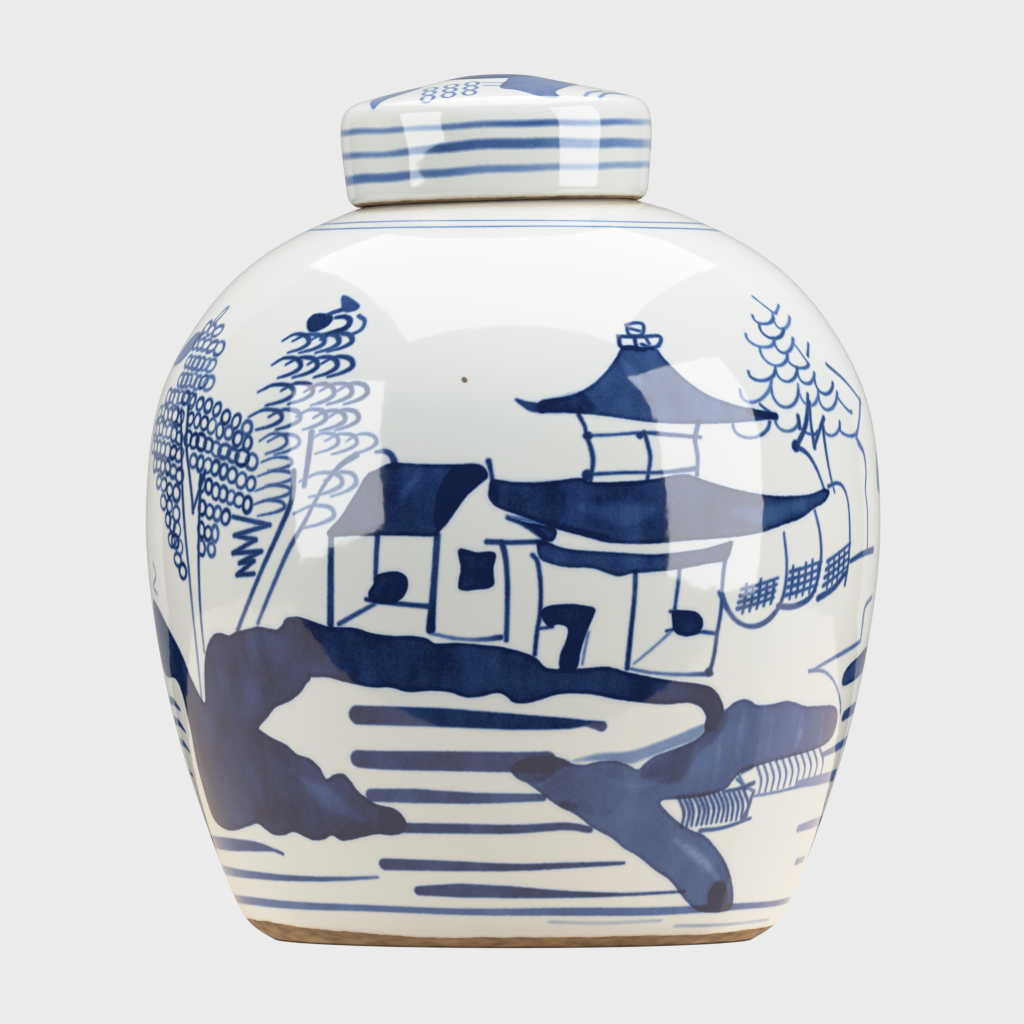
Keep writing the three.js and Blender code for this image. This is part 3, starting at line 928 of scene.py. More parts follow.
def water(view):
    """Level strokes of the brush for open water, blunt where they start and fading out."""
    strokes = [
        ([(-41.8, 63.5), (-20, 63), (0, 61.9), (14, 61.4), (19.6, 61.4), (23.8, 60.6)],
         (5.2, 5.2, 4.4, 3, 1.6, 2.8), 0.87),
        ([(-41.6, 51.6), (-34, 51.3), (-18, 51.2), (0, 51), (9, 51.2)], (4.8, 5.3, 5.6, 5.4), 0.8),
        ([(-38, 41.8), (-26, 41.7), (-10, 41.2), (8, 41.4)], (3.6, 4, 3, 2), 0.74),
        ([(-31, 33), (-15, 32.9), (0, 32.8), (14, 33.5), (20.6, 32.6)], (2.8, 2.7, 2.2, 1.8), 0.82),
        ([(-34.6, 23), (-20, 22.8), (0, 22.4), (15, 22.9), (29.8, 23.4)], (3.3, 3, 2, 1.6, 0.9), 0.8),
        ([(-25.4, 15.9), (-14, 16), (0, 15.6), (14, 15), (30, 14.8), (46.4, 15.3)],
         (2.6, 4, 3.4, 2, 0.9, 0.7), 0.82),
        ([(-84.6, 27.2), (-78, 27), (-70, 26.9), (-65.4, 26.2), (-62.6, 25.2)], (3.6, 3.8, 2.8, 1, 1),
         (0.5, 0.75, 0.75)),
        ([(-80.4, 19.4), (-72, 18.9), (-60, 18.5), (-48, 18.7), (-36.6, 19.4)], (2.8, 2.2, 1.6, 1.2, 0.7),
         (0.45, 0.7, 0.6)),
        ([(77.4, 43.8), (83, 44.6), (88.6, 45.6)], (2.2, 3, 3.4), 0.4),
        ([(78, 31.4), (82, 32.4), (85.6, 33.2)], (2.2, 2.8, 2.6), 0.4),
        ([(77.6, 22), (80, 22.6)], (2, 1.8), 0.4),
        ([(-95.6, 66.4), (-93.4, 65.8), (-91.4, 63.8)], (2.2, 2.2, 1), 0.75),
        ([(-93.8, 60.6), (-91.8, 60), (-90, 57.8)], (2.2, 2.2, 1), 0.75),
        ([(-92.2, 54.8), (-90.4, 54.2), (-88.8, 52.2)], (2, 1.8, 0.8), 0.6),
        ([(-89.6, 46.6), (-88.2, 45.6)], (1.8, 1), 0.6),
    ]
    for points, width, tone in strokes:
        view.pen(points, width, tone)


def bridge(view):
    """A low bridge: two runs of railing with close-set curved bars."""
    for k in range(14):
        x = 45.2 + 1.36 * k
        top, foot = 41.2 + 0.14 * k, 33.0 + 0.16 * k
        bend = 0.9 + view.random.uniform(-0.2, 0.2)
        view.pen([(x - 0.6, top), (x + bend, (top + foot) / 2), (x + 0.3, foot)], (0.8, 1, 0.8), 0.74)
    for k in range(11):
        x = 66.4 + 1.75 * k
        top, foot = 49.4 + 0.44 * k, 41.4 + 0.46 * k
        view.pen([(x - 0.3, top), (x + 0.9, (top + foot) / 2), (x + 0.2, foot)], (0.7, 0.9, 0.7), 0.6)
    for points, width, tone in (
        ([(50.6, 31.9), (57, 32.6), (64.4, 34.9)], (1.2, 0.9), 0.65),
        ([(62.4, 35.2), (63.6, 37.4), (65.2, 42.4)], (1.7, 0.9), 0.7),
        ([(64.4, 40.9), (71, 41.8), (78, 43.2), (86, 44.8)], (0.7, 0.8, 1.4), 0.45),
        ([(57, 42.4), (61.4, 43.2), (65.2, 44.6)], (0.9, 1.4), 0.7),
        ([(61, 47.2), (62.4, 44.4), (65.4, 42.2)], (0.7, 0.9), 0.5),
        ([(60.6, 45.8), (63.4, 43.2)], (0.8, 1), 0.6),
        ([(62, 47.6), (64.8, 49)], 1, 0.6),
    ):
        view.pen(points, width, tone)
    view.blot((62.6, 43.3), 0.9, 0.85)


def rocks(view):
    """Outlined rocks and a far shore past the garden, running out of sight to the right."""
    for points, width, tone in (
        ([(85.6, 158.2), (90, 154.6), (93, 151.4), (95.4, 148.2)], (1.6, 1.3, 1), 0.65),
        ([(95.2, 149), (94.8, 143.6), (93.8, 138)], (1.4, 1.1, 1.2), 0.62),
        ([(94.4, 137), (96, 134), (96.6, 129), (96.4, 124), (97, 118), (97, 108.4)], (2.2, 1.2, 0.9, 1),
         0.6),
        ([(92, 104.6), (95.2, 106.4), (98.8, 107.6)], (1.2, 1.6, 1.8), 0.68),
        ([(80.6, 74.6), (86.2, 77.6), (92.4, 80.8), (95.3, 82.6)], (0.8, 1.2, 1.4), 0.45),
        ([(95.3, 82.4), (95.7, 86.4), (96.5, 91.8), (98.6, 94.6)], (1, 1.6, 1.2), 0.5),
        ([(90.6, 62), (92.6, 63.2), (95.4, 64.8)], (3, 3.6), 0.7),
        ([(84.6, 51.6), (88, 53), (92.4, 55.4)], (1.6, 2.8), 0.5),
        ([(-98.8, 104), (-98, 100.4), (-98.8, 97.6), (-97.6, 95.4)], 0.8, 0.5),
        ([(80.4, 74.9), (84.6, 74.6), (87.8, 71.4), (89.4, 66.4), (89.6, 63)], (1, 0.7, 0.8), 0.45),
    ):
        view.pen(points, width, tone)
    view.area([(90.3, 70.4), (90.2, 73.2), (91.8, 75.9), (94.8, 78.4), (97.7, 81), (97.8, 78),
               (96.6, 74.6), (94.2, 72.2)], 0.8)


def far_hills(view):
    """Two ranges of hills behind the far shore, drawn in line with a thin wash on one flank."""
    ridges = [
        [(-78, 108), (-66, 122), (-58, 138), (-50, 148), (-43, 142), (-36, 146), (-26, 132), (-14, 120),
         (-4, 112)],
        [(-18, 120), (-6, 134), (4, 150), (12, 158), (18, 152), (25, 156), (34, 140), (46, 128),
         (58, 114)],
        [(44, 126), (54, 134), (60, 132), (70, 120), (80, 108)],
    ]
    for ridge in ridges:
        view.pen(ridge, (0.8, 1.3, 1, 1.4, 0.9), 0.6)
    folds = [
        [(-50, 147), (-47, 136), (-51, 126)],
        [(-36, 145), (-33, 134), (-36, 126)],
        [(12, 157), (14, 144), (9, 132)],
        [(25, 155), (28, 143), (24, 133)],
        [(57, 133), (60, 124)],
    ]
    for fold in folds:
        view.pen(fold, (1.2, 0.8, 0.6), 0.5)
    view.area([(-58, 137), (-50, 146), (-51, 134), (-57, 124), (-66, 116), (-72, 110), (-66, 121)], 0.34)
    view.area([(4, 149), (11, 156), (9, 142), (2, 130), (-8, 120), (-14, 121), (-6, 133)], 0.34)


def far_shore(view):
    """The shore on the far side with a hut, its landing stage and two low islands."""
    view.area([
        (-90, 72), (-84, 84), (-76, 89), (-64, 90), (-54, 86), (-40, 89), (-26, 87), (-10, 90), (6, 87),
        (22, 89), (38, 85), (50, 86), (62, 80), (74, 74), (80, 66), (70, 64), (58, 69), (44, 72),
        (30, 70), (16, 74), (0, 72), (-14, 75), (-30, 72), (-44, 75), (-58, 70), (-70, 66), (-80, 62),
    ], 0.86)
    view.area([(26, 44), (36, 50), (48, 52), (60, 50), (70, 53), (80, 50), (84, 44), (74, 39), (60, 38),
               (44, 40), (32, 40)], 0.8)
    view.area([(-76, 40), (-64, 46), (-50, 45), (-38, 40), (-26, 34), (-20, 29), (-30, 26), (-48, 28),
               (-62, 29), (-72, 32)], 0.78)
    view.area([(-16, 108), (-9, 119), (-4, 124), (14, 124), (24, 123), (30, 117), (36, 108), (10, 107)],
              0.84)
    for points, width in (
        ([(-13, 107), (-13, 90)], 1.5), ([(2, 107), (1, 88)], 1.3), ([(20, 107), (20, 89)], 1.3),
        ([(32, 107), (33, 87)], 1.5),
        ([(-13, 96), (1, 97)], 1), ([(20, 97), (32, 97)], 1), ([(52, 84), (62, 92), (72, 84)], 1.1),
        ([(52, 84), (60, 86), (72, 84)], 1.4), ([(61, 92), (61, 104)], 0.9),
        ([(61, 104), (68, 98), (61, 94)], 0.8),
    ):
        view.pen(points, width, 0.8)
    view.area([(6, 90), (6, 100), (10, 102), (15, 101), (15, 90)], 0.9)
    for points, width, tone in (
        ([(-40, 62), (-20, 61.6), (4, 61.2), (22, 60.4)], (4.4, 4.8, 3.2, 1.2), 0.85),
        ([(-22, 51.4), (-8, 51), (8, 50.8), (18, 51.2)], (4.4, 5, 3.6, 1.4), 0.8),
        ([(-14, 40.6), (0, 40.4), (14, 40.8), (24, 40.2)], (3.4, 3.8, 2.4, 1.2), 0.75),
        ([(-10, 31), (8, 30.8), (30, 31.2), (44, 30.6)], (3, 3.4, 2.2, 1), 0.8),
        ([(-58, 20.4), (-36, 20), (-14, 20.6)], (3, 3.2, 1), 0.75),
        ([(2, 21.4), (26, 21), (52, 21.8)], (2.6, 3.2, 1), 0.75),
    ):
        view.pen(points, width, tone)


def far_trees(view):
    """Three trees on the far shore: two of looped leaves and one of hooked strokes."""
    for centre, foot, rows in ((-66, 88, 7), (-34, 88, 6)):
        for k in range(rows):
            half = 9.5 - 1.1 * abs(k - 1.6)
            z = 112 + 5.2 * k
            count = max(int(half / 1.5), 2)
            loop_row(view, (centre - half, z), (centre + half, z - 1.6), count, 0.75, 0.5)
        view.pen([(centre - 1.2, foot), (centre - 0.8, 104), (centre - 0.4, 140)], (1, 1.2, 0.8), 0.7)
        view.pen([(centre + 1.6, foot), (centre + 1, 104), (centre, 126)], (1, 1.1, 0.7), 0.65)
    for k in range(6):
        reach = 5.0 + 1.3 * k
        for right_x in np.linspace(49 - reach * 0.2, 48 + reach, 2 + k // 2):
            hook(view, right_x - 8.5, right_x, 148 - 7 * k, 4.8, 0.75, 0.9)
    view.pen([(46.4, 148), (46, 120), (44.4, 86)], (1.3, 1.5, 1.3), 0.75)
    view.pen([(47.4, 112), (48.4, 98), (48.8, 86)], (1, 1.2), 0.65)


def smudges(view):
    """Faint cobalt that ran or was touched before firing."""
    for points, width, tone in (
        ([(44, 5.8), (56, 5.6), (70, 6.2)], 0.9, 0.3), ([(10, 7.4), (24, 7), (40, 7.4)], 0.8, 0.22),
    ):
        view.pen(points, width, tone, "accent")


def band(canvas, layer, turn, place, width, tone):
    """A stroke all the way round, laid down in quarters."""
    width, tone = (np.broadcast_to(value, turn.shape) for value in (width, tone))
    quarter = (len(turn) - 1) // 4
    for start in range(0, 4 * quarter, quarter):
        part = slice(start, start + quarter + 1)
        canvas.stroke(layer, np.stack([turn[part], place[part]], 1), width[part], tone[part])


def paint_rings(canvas):
    """The thin turned rings under the neck and above the foot."""
    turn = np.linspace(-math.pi, math.pi, 181)
    for height, width, tone in ((197.2, 0.9, 0.42), (195.5, 0.95, 0.46)):
        place = np.interp(height, canvas.height, canvas.along)
        sway = 0.22 * np.sin(3 * turn + height) + 0.1 * np.sin(7 * turn)
        band(canvas, "line", turn, place + sway, width, tone)
    lift = 10.2 + 1.4 * np.sin(turn / 2) ** 2 + 0.5 * np.sin(turn) ** 2 - 0.35 * np.sin(2 * turn)
    place = np.interp(lift + 0.12 * np.sin(9 * turn), canvas.height, canvas.along)
    band(canvas, "line", turn, place, 2.1 + 0.3 * np.sin(4 * turn), 0.55)


def bare_foot(canvas):
    """The wavering line where the glaze stops, a few millimetres above the foot."""
    angle = np.arange(canvas.columns) * canvas.turn
    height = 3.0 + 1.3 * (1 - np.cos(angle)) + 2.2 * np.clip(-np.sin(angle), 0, 1) ** 2
    height += 0.2 * np.sin(5 * angle + 0.6) + 0.12 * np.sin(11 * angle + 2) + 0.06 * np.sin(37 * angle)
    edge = np.interp(height, canvas.height, canvas.along)
    canvas.bare = np.clip(canvas.along[:, None] - edge[None, :], -FAR, FAR).astype(np.float32)


def painted_rim_reflection(canvas):
    """Painted reflection and shade of the lid's brown clay rim: a brownish ring on the shoulder where the
    lid sits.
    """
    angle = np.arange(canvas.columns) * canvas.turn
    outer = 46.6 - 1.0 * np.sin(angle) + 0.5 * np.sin(5 * angle) + 0.3 * np.sin(13 * angle + 1)
    beyond = canvas.radius[:, None] - outer[None, :]
    # painted brown tint, strongest near the neck and fading out just past the lid's rim, kept far enough
    # from the clay that no clay shows
    rim_reflection_tint = 0.36 + 0.22 * np.clip(beyond + 2.5, 0, None)
    shoulder = canvas.height[:, None] > NECK_FOOT - 12
    canvas.bare = np.where(shoulder, np.minimum(canvas.bare, rim_reflection_tint), canvas.bare).astype(np.float32)


def side_bushes(view_right, view_left):
    """Two soft bushes that only just show at the edges of the front."""
    view_right.area([(-14, 124.8), (-13.4, 130), (-8, 134.4), (2, 133.8), (10, 131), (12, 125.4),
                     (4, 122), (-8, 123)], 0.62)
    view_left.area([(10, 158.6), (14, 164), (20, 167.2), (27, 166.4), (25.6, 162), (20, 158.8)], 0.5)


def paint_jar(canvas):
    """Every brush mark on the jar, in the order in which it is laid."""
    front = View(canvas, seed=3)
    paint_rings(canvas)
    front_banks(front)
    water(front)
    loop_tree(front)
    fir_tree(front)
    left_house(front)
    pagoda_roofs(front)
    pagoda_posts(front)
    scallop_tree(front)
    garden_panels(front)
    bridge(front)
    rocks(front)
    back = View(canvas, facing=180, seed=11)
    far_hills(back)
    far_shore(back)
    far_trees(back)
    side_bushes(View(canvas, facing=90), View(canvas, facing=-90))
    smudges(front)
    front.pen([(-13.2, 153.7), (-12.9, 153.4)], 1.5, 1, "iron")
    bare_foot(canvas)
    # painted reflection and shade of the lid's clay rim on the shoulder
    painted_rim_reflection(canvas)


def paint_lid(canvas):
    """Three uneven bands round the side, and a roof, a tree and a shore on the top."""
    bands = [
        ((20.2, 20.1, 20.3, 20.6, 20.8, 20.4, 20, 20.2), (1.6, 1.3, 1.5, 1.7, 1.5, 1.5, 1.6, 1.6),
         (0.48, 0.42, 0.52, 0.66, 0.2, 0.4, 0.45, 0.48)),
        ((13.9, 13.4, 15, 15.1, 14.8, 14.6, 14, 13.9), (1.7, 1.4, 2.6, 2.7, 2.3, 2, 1.8, 1.7),
         (0.45, 0.42, 0.7, 0.6, 0.25, 0.4, 0.5, 0.45)),
        ((6.9, 7.3, 8, 8.5, 9.2, 8.4, 7.2, 6.9), (2.4, 2.3, 2, 1.8, 1.7, 2.1, 2.4, 2.4),
         (0.5, 0.55, 0.5, 0.34, 0.24, 0.4, 0.5, 0.5)),
    ]
    turn = np.linspace(0, 2 * math.pi, 181)
    knots = np.array([-90, -45, -15, 20, 80, 140, 215, 270]) * math.pi / 180
    for heights, widths, tones in bands:
        heights, widths, tones = (
            np.interp(turn - math.pi / 2, knots, row) for row in (heights, widths, tones))
        heights = np.convolve(np.r_[heights[-9:-1], heights, heights[1:9]], np.ones(17) / 17, "valid")
        place = np.interp(heights, canvas.height, canvas.along)
        place += 0.15 * np.sin(5 * turn) + 0.1 * np.sin(13 * turn + 1)
        band(canvas, "accent", turn - math.pi / 2, place, widths, tones)
    top_scene(canvas)
    above_rim = np.clip(canvas.along - 1.2, -FAR, FAR).astype(np.float32)
    canvas.bare = np.repeat(above_rim[:, None], canvas.columns, axis=1)


def top_scene(canvas):
    """The roof, the tree and the shore on the lid's top, as seen from above."""
    def area(points, tone, layer="wash"):
        canvas.fill(layer, canvas.plan(curved(points, closed=True)), tone)

    def pen(points, width, tone):
        canvas.stroke("line", canvas.plan(curved(points)), width, tone)

    area([(1.5, -28.5), (6, -32), (12, -37.4), (17.4, -36), (16.6, -31), (19.8, -21), (22.6, -9),
          (14, -5), (6, -9), (3.2, -18)], 0.52)
    area([(-33.4, -25), (-29, -21.6), (-25, -18.8), (-20, -12), (-24, -8), (-30, -9.6), (-34, -16)], 0.45)
    for k in range(9):
        x, y = -6.2 - 1.9 * k + 1.5 * (k % 3), -20.5 - 6.4 * (k % 3)
        turn = np.linspace(0, 2 * math.pi, 15)
        loop = np.stack([x + 1.7 * np.sin(turn), y + 2.9 * np.cos(turn)], 1)
        canvas.stroke("line", canvas.plan(loop), 0.9, 0.5)
    pen([(-3, -24.5), (4, -26.5)], 0.9, 0.45)
    pen([(-3, -20.5), (4, -21.5)], 0.8, 0.55)
    pen([(24.6, -31), (26, -25), (29.4, -18)], (0.9, 1.6), 0.36)
    pen([(28.6, -28.6), (31, -20), (35.4, -12)], (0.9, 2.2), 0.4)
    area([(-14, -4), (-4, -6), (4, -3), (10, 2), (4, 6), (-8, 5), (-16, 1)], 0.78)
    pen([(-12, 8), (-2, 9), (12, 8)], (2.4, 1.2), 0.7)
    pen([(-18, 14), (-4, 15.5), (14, 14)], (2.8, 1), 0.7)
    pen([(-8, 22), (4, 23), (18, 21)], (2.4, 0.9), 0.65)
    area([(16, 18), (24, 14), (31, 8), (33, 15), (27, 24), (18, 27), (12, 24)], 0.78)


# ---------------------------------------------------------------- materials

class Nodes:
    """Short calls for building one material's node tree."""

    def __init__(self, name):
        self.material = bpy.data.materials.new(name)
        self.material.use_nodes = True
        self.tree = self.material.node_tree
        self.tree.nodes.clear()

    def add(self, kind, **settings):
        node = self.tree.nodes.new(kind)
        for key, value in settings.items():
            setattr(node, key, value)
        return node

    def link(self, source, target):
        self.tree.links.new(source, target)

    def put(self, socket, value):
        if hasattr(value, "node"):
            self.link(value, socket)
        else:
            socket.default_value = value

    def math(self, operation, *values, clamp=False):
        node = self.add("ShaderNodeMath", operation=operation, use_clamp=clamp)
        for socket, value in zip(node.inputs, values):
            self.put(socket, value)
        return node.outputs[0]

    def surface(self, shader):
        """Ends the tree with its shader and gives the material."""
        output = self.add("ShaderNodeOutputMaterial")
        self.link(shader.outputs[0], output.inputs[0])
        return self.material

    def attribute(self, name):
        return self.add("ShaderNodeAttribute", attribute_name=name).outputs["Fac"]

    def noise(self, scale, detail, stretch=(1, 1, 1)):
        coordinates = self.add("ShaderNodeTexCoord").outputs["Object"]
        mapping = self.add("ShaderNodeMapping")
        mapping.inputs["Scale"].default_value = stretch
        self.link(coordinates, mapping.inputs["Vector"])
        noise = self.add("ShaderNodeTexNoise")
        noise.inputs["Scale"].default_value = scale
        noise.inputs["Detail"].default_value = detail
        self.link(mapping.outputs[0], noise.inputs["Vector"])
        return noise.outputs["Fac"]

    def ranged(self, value, low, high, to_low=0.0, to_high=1.0, smooth=False):
        node = self.add("ShaderNodeMapRange")
        if smooth:
            node.interpolation_type = "SMOOTHSTEP"
        self.put(node.inputs["Value"], value)
        limits = (("From Min", low), ("From Max", high), ("To Min", to_low), ("To Max", to_high))
        for key, number in limits:
            self.put(node.inputs[key], number)
        return node.outputs["Result"]

    def ramp(self, value, stops):
        node = self.add("ShaderNodeValToRGB")
        elements = node.color_ramp.elements
        while len(elements) < len(stops):
            elements.new(0.5)
        for element, (position, colour) in zip(elements, stops):
            element.position = position
            element.color = (*colour, 1.0)
        self.link(value, node.inputs["Fac"])
        return node.outputs["Color"]

    def mix(self, amount, first, second, blend="MIX"):
        """Two colours mixed. Sockets 6 and 7 are a Mix node's colours A and B, and 2 its result."""
        node = self.add("ShaderNodeMix", data_type="RGBA", blend_type=blend)
        self.put(node.inputs["Factor"], amount)
        for socket, value in ((node.inputs[6], first), (node.inputs[7], second)):
            if not hasattr(value, "node"):
                value = (*value, 1.0)
            self.put(socket, value)
        return node.outputs[2]


def linear(red, green, blue):
    """A screen colour, 0 to 255, as linear light."""
    values = [channel / 255 for channel in (red, green, blue)]
    return tuple(v / 12.92 if v <= 0.04045 else ((v + 0.055) / 1.055) ** 2.4 for v in values)


def ink_strength(nodes):
    """How much cobalt lies at a point, 0 to 1, from the painted layers.

    Each brush mark is a little darker where it pooled just inside its edge."""
    ragged = nodes.ranged(nodes.noise(700, 3), 0.3, 0.7, -0.07, 0.07)
    total = None
    for layer, soft, pool in (("wash", 0.32, 0.16), ("line", 0.4, 0.0), ("accent", 0.7, 0.0)):
        edge = nodes.math("ADD", nodes.attribute(layer + "_edge"), ragged)
        inside = nodes.ranged(edge, -soft, soft, 1.0, 0.0, smooth=True)
        strength = nodes.math("MULTIPLY", inside, nodes.attribute(layer + "_tone"))
        if pool:
            rim = nodes.ranged(edge, -1.6, -0.3, 1.0, 1.0 + pool, smooth=True)
            strength = nodes.math("MULTIPLY", strength, rim)
        if total is None:
            total = strength
        else:
            kept = nodes.math("SUBTRACT", 1.0, nodes.math("MULTIPLY", strength, 0.75))
            total = nodes.math("ADD", nodes.math("MULTIPLY", total, kept), strength)
    streak = nodes.ranged(nodes.attribute("light_edge"), -2.2, 0.7, 1.0, 0.0, smooth=True)
    thinned = nodes.math("MULTIPLY", nodes.math("MULTIPLY", streak, nodes.attribute("light_tone")), 0.7)
    return nodes.math("MULTIPLY", total, nodes.math("SUBTRACT", 1.0, thinned))


def brushed(nodes, strength):
    """The cobalt laid down unevenly: clouds, streaks of the brush and fine grain."""
    cloudy = nodes.ranged(nodes.noise(75, 4), 0.32, 0.68, 0.91, 1.06)
    streaky = nodes.ranged(nodes.noise(170, 3, (1, 1, 0.22)), 0.35, 0.65, 0.945, 1.045)
    grainy = nodes.ranged(nodes.noise(1300, 2), 0.3, 0.7, 0.95, 1.05)
    for uneven in (cloudy, streaky, grainy):
        strength = nodes.math("MULTIPLY", strength, uneven)
    bleed = nodes.ranged(nodes.attribute("wash_edge"), 0.0, 1.6, 0.05, 0.0)
    bleed_line = nodes.ranged(nodes.attribute("line_edge"), 0.0, 0.9, 0.07, 0.0)
    return nodes.math("ADD", strength, nodes.math("ADD", bleed, bleed_line), clamp=True)


def clay_colour(nodes):
    """Unglazed clay, browned by the kiln and by handling."""
    patchy = nodes.ranged(nodes.noise(160, 4, (1, 1, 4)), 0.3, 0.7)
    return nodes.mix(patchy, linear(96, 72, 44), linear(150, 122, 84))


def glaze_material(name):
    nodes = Nodes(name)
    strength = brushed(nodes, ink_strength(nodes))
    ink = nodes.ramp(strength, [
        (0.0, (1, 1, 1)),
        (0.12, linear(206, 220, 240)),
        (0.35, linear(136, 164, 214)),
        (0.6, linear(82, 114, 176)),
        (0.85, linear(45, 70, 126)),
        (1.0, linear(26, 41, 86)),
    ])
    patchy = nodes.ranged(nodes.noise(9, 3), 0.35, 0.65)
    body = nodes.mix(patchy, linear(213, 217, 214), linear(217, 218, 213))
    painted = nodes.mix(1.0, body, ink, "MULTIPLY")
    iron = nodes.ranged(nodes.attribute("iron_edge"), -0.25, 0.2, 1.0, 0.0, smooth=True)
    painted = nodes.mix(nodes.math("MULTIPLY", iron, 0.9), painted, linear(92, 62, 40))
    rough_edge = nodes.ranged(nodes.noise(400, 3), 0.3, 0.7, -0.18, 0.18)
    bare_edge = nodes.math("ADD", nodes.attribute("bare"), rough_edge)
    bare = nodes.ranged(bare_edge, -0.15, 0.15, 1.0, 0.0, smooth=True)
    # brown tint beside the bare clay: real kiln toasting at the foot, the lip and the lid's rim, and on
    # the jar's shoulder a painted reflection and shade of the lid's clay rim
    toasted_and_rim_reflection = nodes.ranged(bare_edge, 0.1, 1.1, 0.45, 0.0)
    painted = nodes.mix(toasted_and_rim_reflection, painted, linear(188, 160, 118))
    colour = nodes.mix(bare, painted, clay_colour(nodes))
    shader = nodes.add("ShaderNodeBsdfPrincipled")
    nodes.link(colour, shader.inputs["Base Color"])
    nodes.link(nodes.ranged(bare, 0.0, 1.0, GLAZE_ROUGHNESS, CLAY_ROUGHNESS), shader.inputs["Roughness"])
    shader.inputs["IOR"].default_value = GLAZE_IOR
    bump = nodes.add("ShaderNodeBump")
    bump.inputs["Strength"].default_value = RIPPLE
    bump.inputs["Distance"].default_value = 0.001
    nodes.link(nodes.noise(120, 2), bump.inputs["Height"])
    nodes.link(bump.outputs[0], shader.inputs["Normal"])
    return nodes.surface(shader)


# ---------------------------------------------------------------- studio

def paper_material(name, glow):
    """Evenly lit paper."""
    nodes = Nodes(name)
    shader = nodes.add("ShaderNodeBsdfPrincipled")
    shader.inputs["Base Color"].default_value = (PAPER_ALBEDO, PAPER_ALBEDO, PAPER_ALBEDO, 1)
    shader.inputs["Roughness"].default_value = PAPER_ROUGHNESS
    shader.inputs["Specular IOR Level"].default_value = 0.0
    shader.inputs["Emission Color"].default_value = (1, 1, 1, 1)
    shader.inputs["Emission Strength"].default_value = glow
    return nodes.surface(shader)


def studio_floor():
    """A pale sweep: a floor that curves up into a backdrop all round. The glaze doesn't mirror it."""
    flat = SWEEP_RADIUS - SWEEP_BEND
    line = [(0.001, 0.0), (flat, 0.0)]
    for a in np.linspace(0, math.pi / 2, 12):
        line.append((flat + SWEEP_BEND * math.sin(a), SWEEP_BEND * (1 - math.cos(a))))
    line.append((SWEEP_RADIUS, SWEEP_HEIGHT))
    columns = 96
    points, _ = ring_points(np.array(line), columns)
    count = len(line)
    index = np.arange(count * columns).reshape(count, columns)
    faces = np.concatenate([strip_faces(index[k], index[k + 1]) for k in range(count - 1)])
    mesh = bpy.data.meshes.new("studio_floor")
    mesh.from_pydata(points.reshape(-1, 3), [], faces.tolist())
    mesh.materials.append(paper_material("floor_paper", FLOOR_GLOW))
    mesh.materials.append(paper_material("wall_paper", WALL_GLOW))
    for face in mesh.polygons:
        beyond_flat = face.index >= columns
        face.material_index = int(beyond_flat)
    floor = bpy.data.objects.new("studio_floor", mesh)
    floor.visible_glossy = False
    floor.visible_diffuse = False
    bpy.context.scene.collection.objects.link(floor)


def soft_light(name, place, aim, size, brightness, colour=(1, 1, 1)):
    """A rectangular light facing aim, seen in the glaze and not by the camera."""
    data = bpy.data.lights.new(name, "AREA")
    data.shape = "RECTANGLE"
    data.size, data.size_y = size
    data.energy = brightness * size[0] * size[1] * WATTS
    data.color = colour
    light = bpy.data.objects.new(name, data)
    light.location = place
    light.rotation_euler = (Vector(aim) - Vector(place)).to_track_quat("-Z", "Y").to_euler()
    light.visible_camera = False
    bpy.context.scene.collection.objects.link(light)
    return light


def softbox(name, azimuth, elevation, wide, tall, brightness, roll=0):
    """A softbox where the jar sees it, by its direction and the angles it spans, in degrees."""
    turn, rise = math.radians(azimuth), math.radians(elevation)
    away = SOFTBOX_DISTANCE * math.cos(rise)
    up = AIM_HEIGHT + SOFTBOX_DISTANCE * math.sin(rise)
    place = (away * math.sin(turn), -away * math.cos(turn), up)
    size = [2 * SOFTBOX_DISTANCE * math.tan(math.radians(angle) / 2) for angle in (wide, tall)]
    light = soft_light(name, place, (0, 0, AIM_HEIGHT), size, brightness)
    light.rotation_euler.rotate_axis("Z", math.radians(roll))


def table_glow(name, west, east, south, north, brightness, colour, only_mirrored=False):
    """A lit stretch of the table round the jar, as the lower half of the glaze mirrors it."""
    size = (east - west, north - south)
    height = SHEEN_HEIGHT if only_mirrored else GLOW_HEIGHT
    place = Vector(((west + east) / 2, (south + north) / 2, height))
    light = soft_light(name, place, place + Vector((0, 0, 1)), size, brightness, colour)
    light.visible_diffuse = not only_mirrored


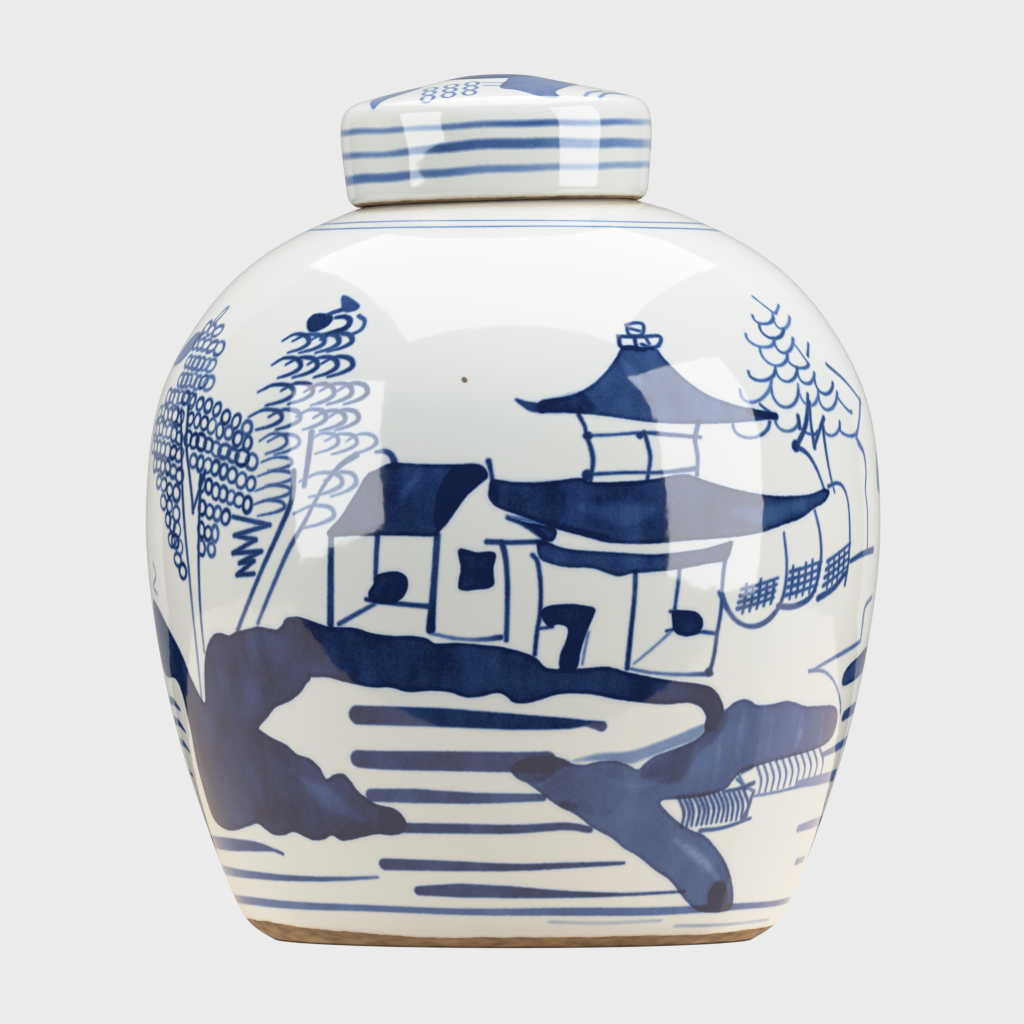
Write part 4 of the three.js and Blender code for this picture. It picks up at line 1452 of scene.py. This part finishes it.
def studio_lights():
    softbox("right_softbox", 64.3, 15.6, 35.5, 54, 4.8)
    softbox("left_softbox", -57.5, 15.5, 31, 41, 4.5, roll=13)
    softbox("top_softbox", 0, 99, 60, 68, 3.2)
    softbox("back_wall", 180, 22, 84, 60, 0.4)
    warm = (1.0, 0.80, 0.60)
    table_glow("table_front", -0.5, 0.5, -0.19, -0.046, 0.46, warm)
    table_glow("table_front_sheen", -0.5, 0.5, -0.19, -0.046, 0.35, warm, only_mirrored=True)
    table_glow("table_left", -0.6, -0.046, -0.046, 0.3, 0.85, warm)
    table_glow("table_right", 0.046, 0.6, -0.046, 0.3, 0.85, warm)
    table_glow("table_right_sheen", 0.046, 0.6, -0.046, 0.3, 0.4, (1.0, 0.70, 0.62), only_mirrored=True)
    world = bpy.data.worlds.new("studio")
    bpy.context.scene.world = world
    world.use_nodes = True
    background = world.node_tree.nodes["Background"]
    background.inputs["Color"].default_value = (1, 1, 1, 1)
    background.inputs["Strength"].default_value = AMBIENT
    world.cycles_visibility.glossy = False
    photographic_tone(bpy.context.scene.view_settings)


def photographic_tone(settings):
    """Keeps mid tones as they are and lets highlights roll off instead of clipping."""
    settings.view_transform = "Standard"
    settings.use_curve_mapping = True
    mapping = settings.curve_mapping
    mapping.white_level = (HIGHLIGHT_LIMIT,) * 3
    curve = mapping.curves[3]
    shoulder = ((0.72, 0.72), (0.88, 0.815), (1.05, 0.878), (1.3, 0.942), (1.6, 0.978))
    for light, shown in shoulder:
        curve.points.new(light / HIGHLIGHT_LIMIT, shown)
    curve.points[1].handle_type = "VECTOR"
    mapping.update()


def studio_camera():
    data = bpy.data.cameras.new("camera")
    data.lens = FOCAL_MM
    data.sensor_width = SENSOR_MM
    data.clip_end = 50
    camera = bpy.data.objects.new("camera", data)
    camera.location = CAMERA_PLACE
    toward = Vector(CAMERA_AIM) - camera.location
    camera.rotation_euler = toward.to_track_quat("-Z", "Y").to_euler()
    bpy.context.scene.collection.objects.link(camera)
    bpy.context.scene.camera = camera


# ---------------------------------------------------------------- the whole

studio_camera()
studio_floor()
studio_lights()

jar_canvas = Canvas(JAR_OUTLINE, base_columns=192, base_rows=84, blur=2.5)
paint_jar(jar_canvas)
lid_canvas = Canvas(LID_OUTLINE, base_columns=144, base_rows=42, blur=0.8)
paint_lid(lid_canvas)
jar = jar_piece(jar_canvas)
jar.data.materials.append(glaze_material("jar_glaze"))
lid = lid_piece(lid_canvas)
lid.data.materials.append(glaze_material("lid_glaze"))
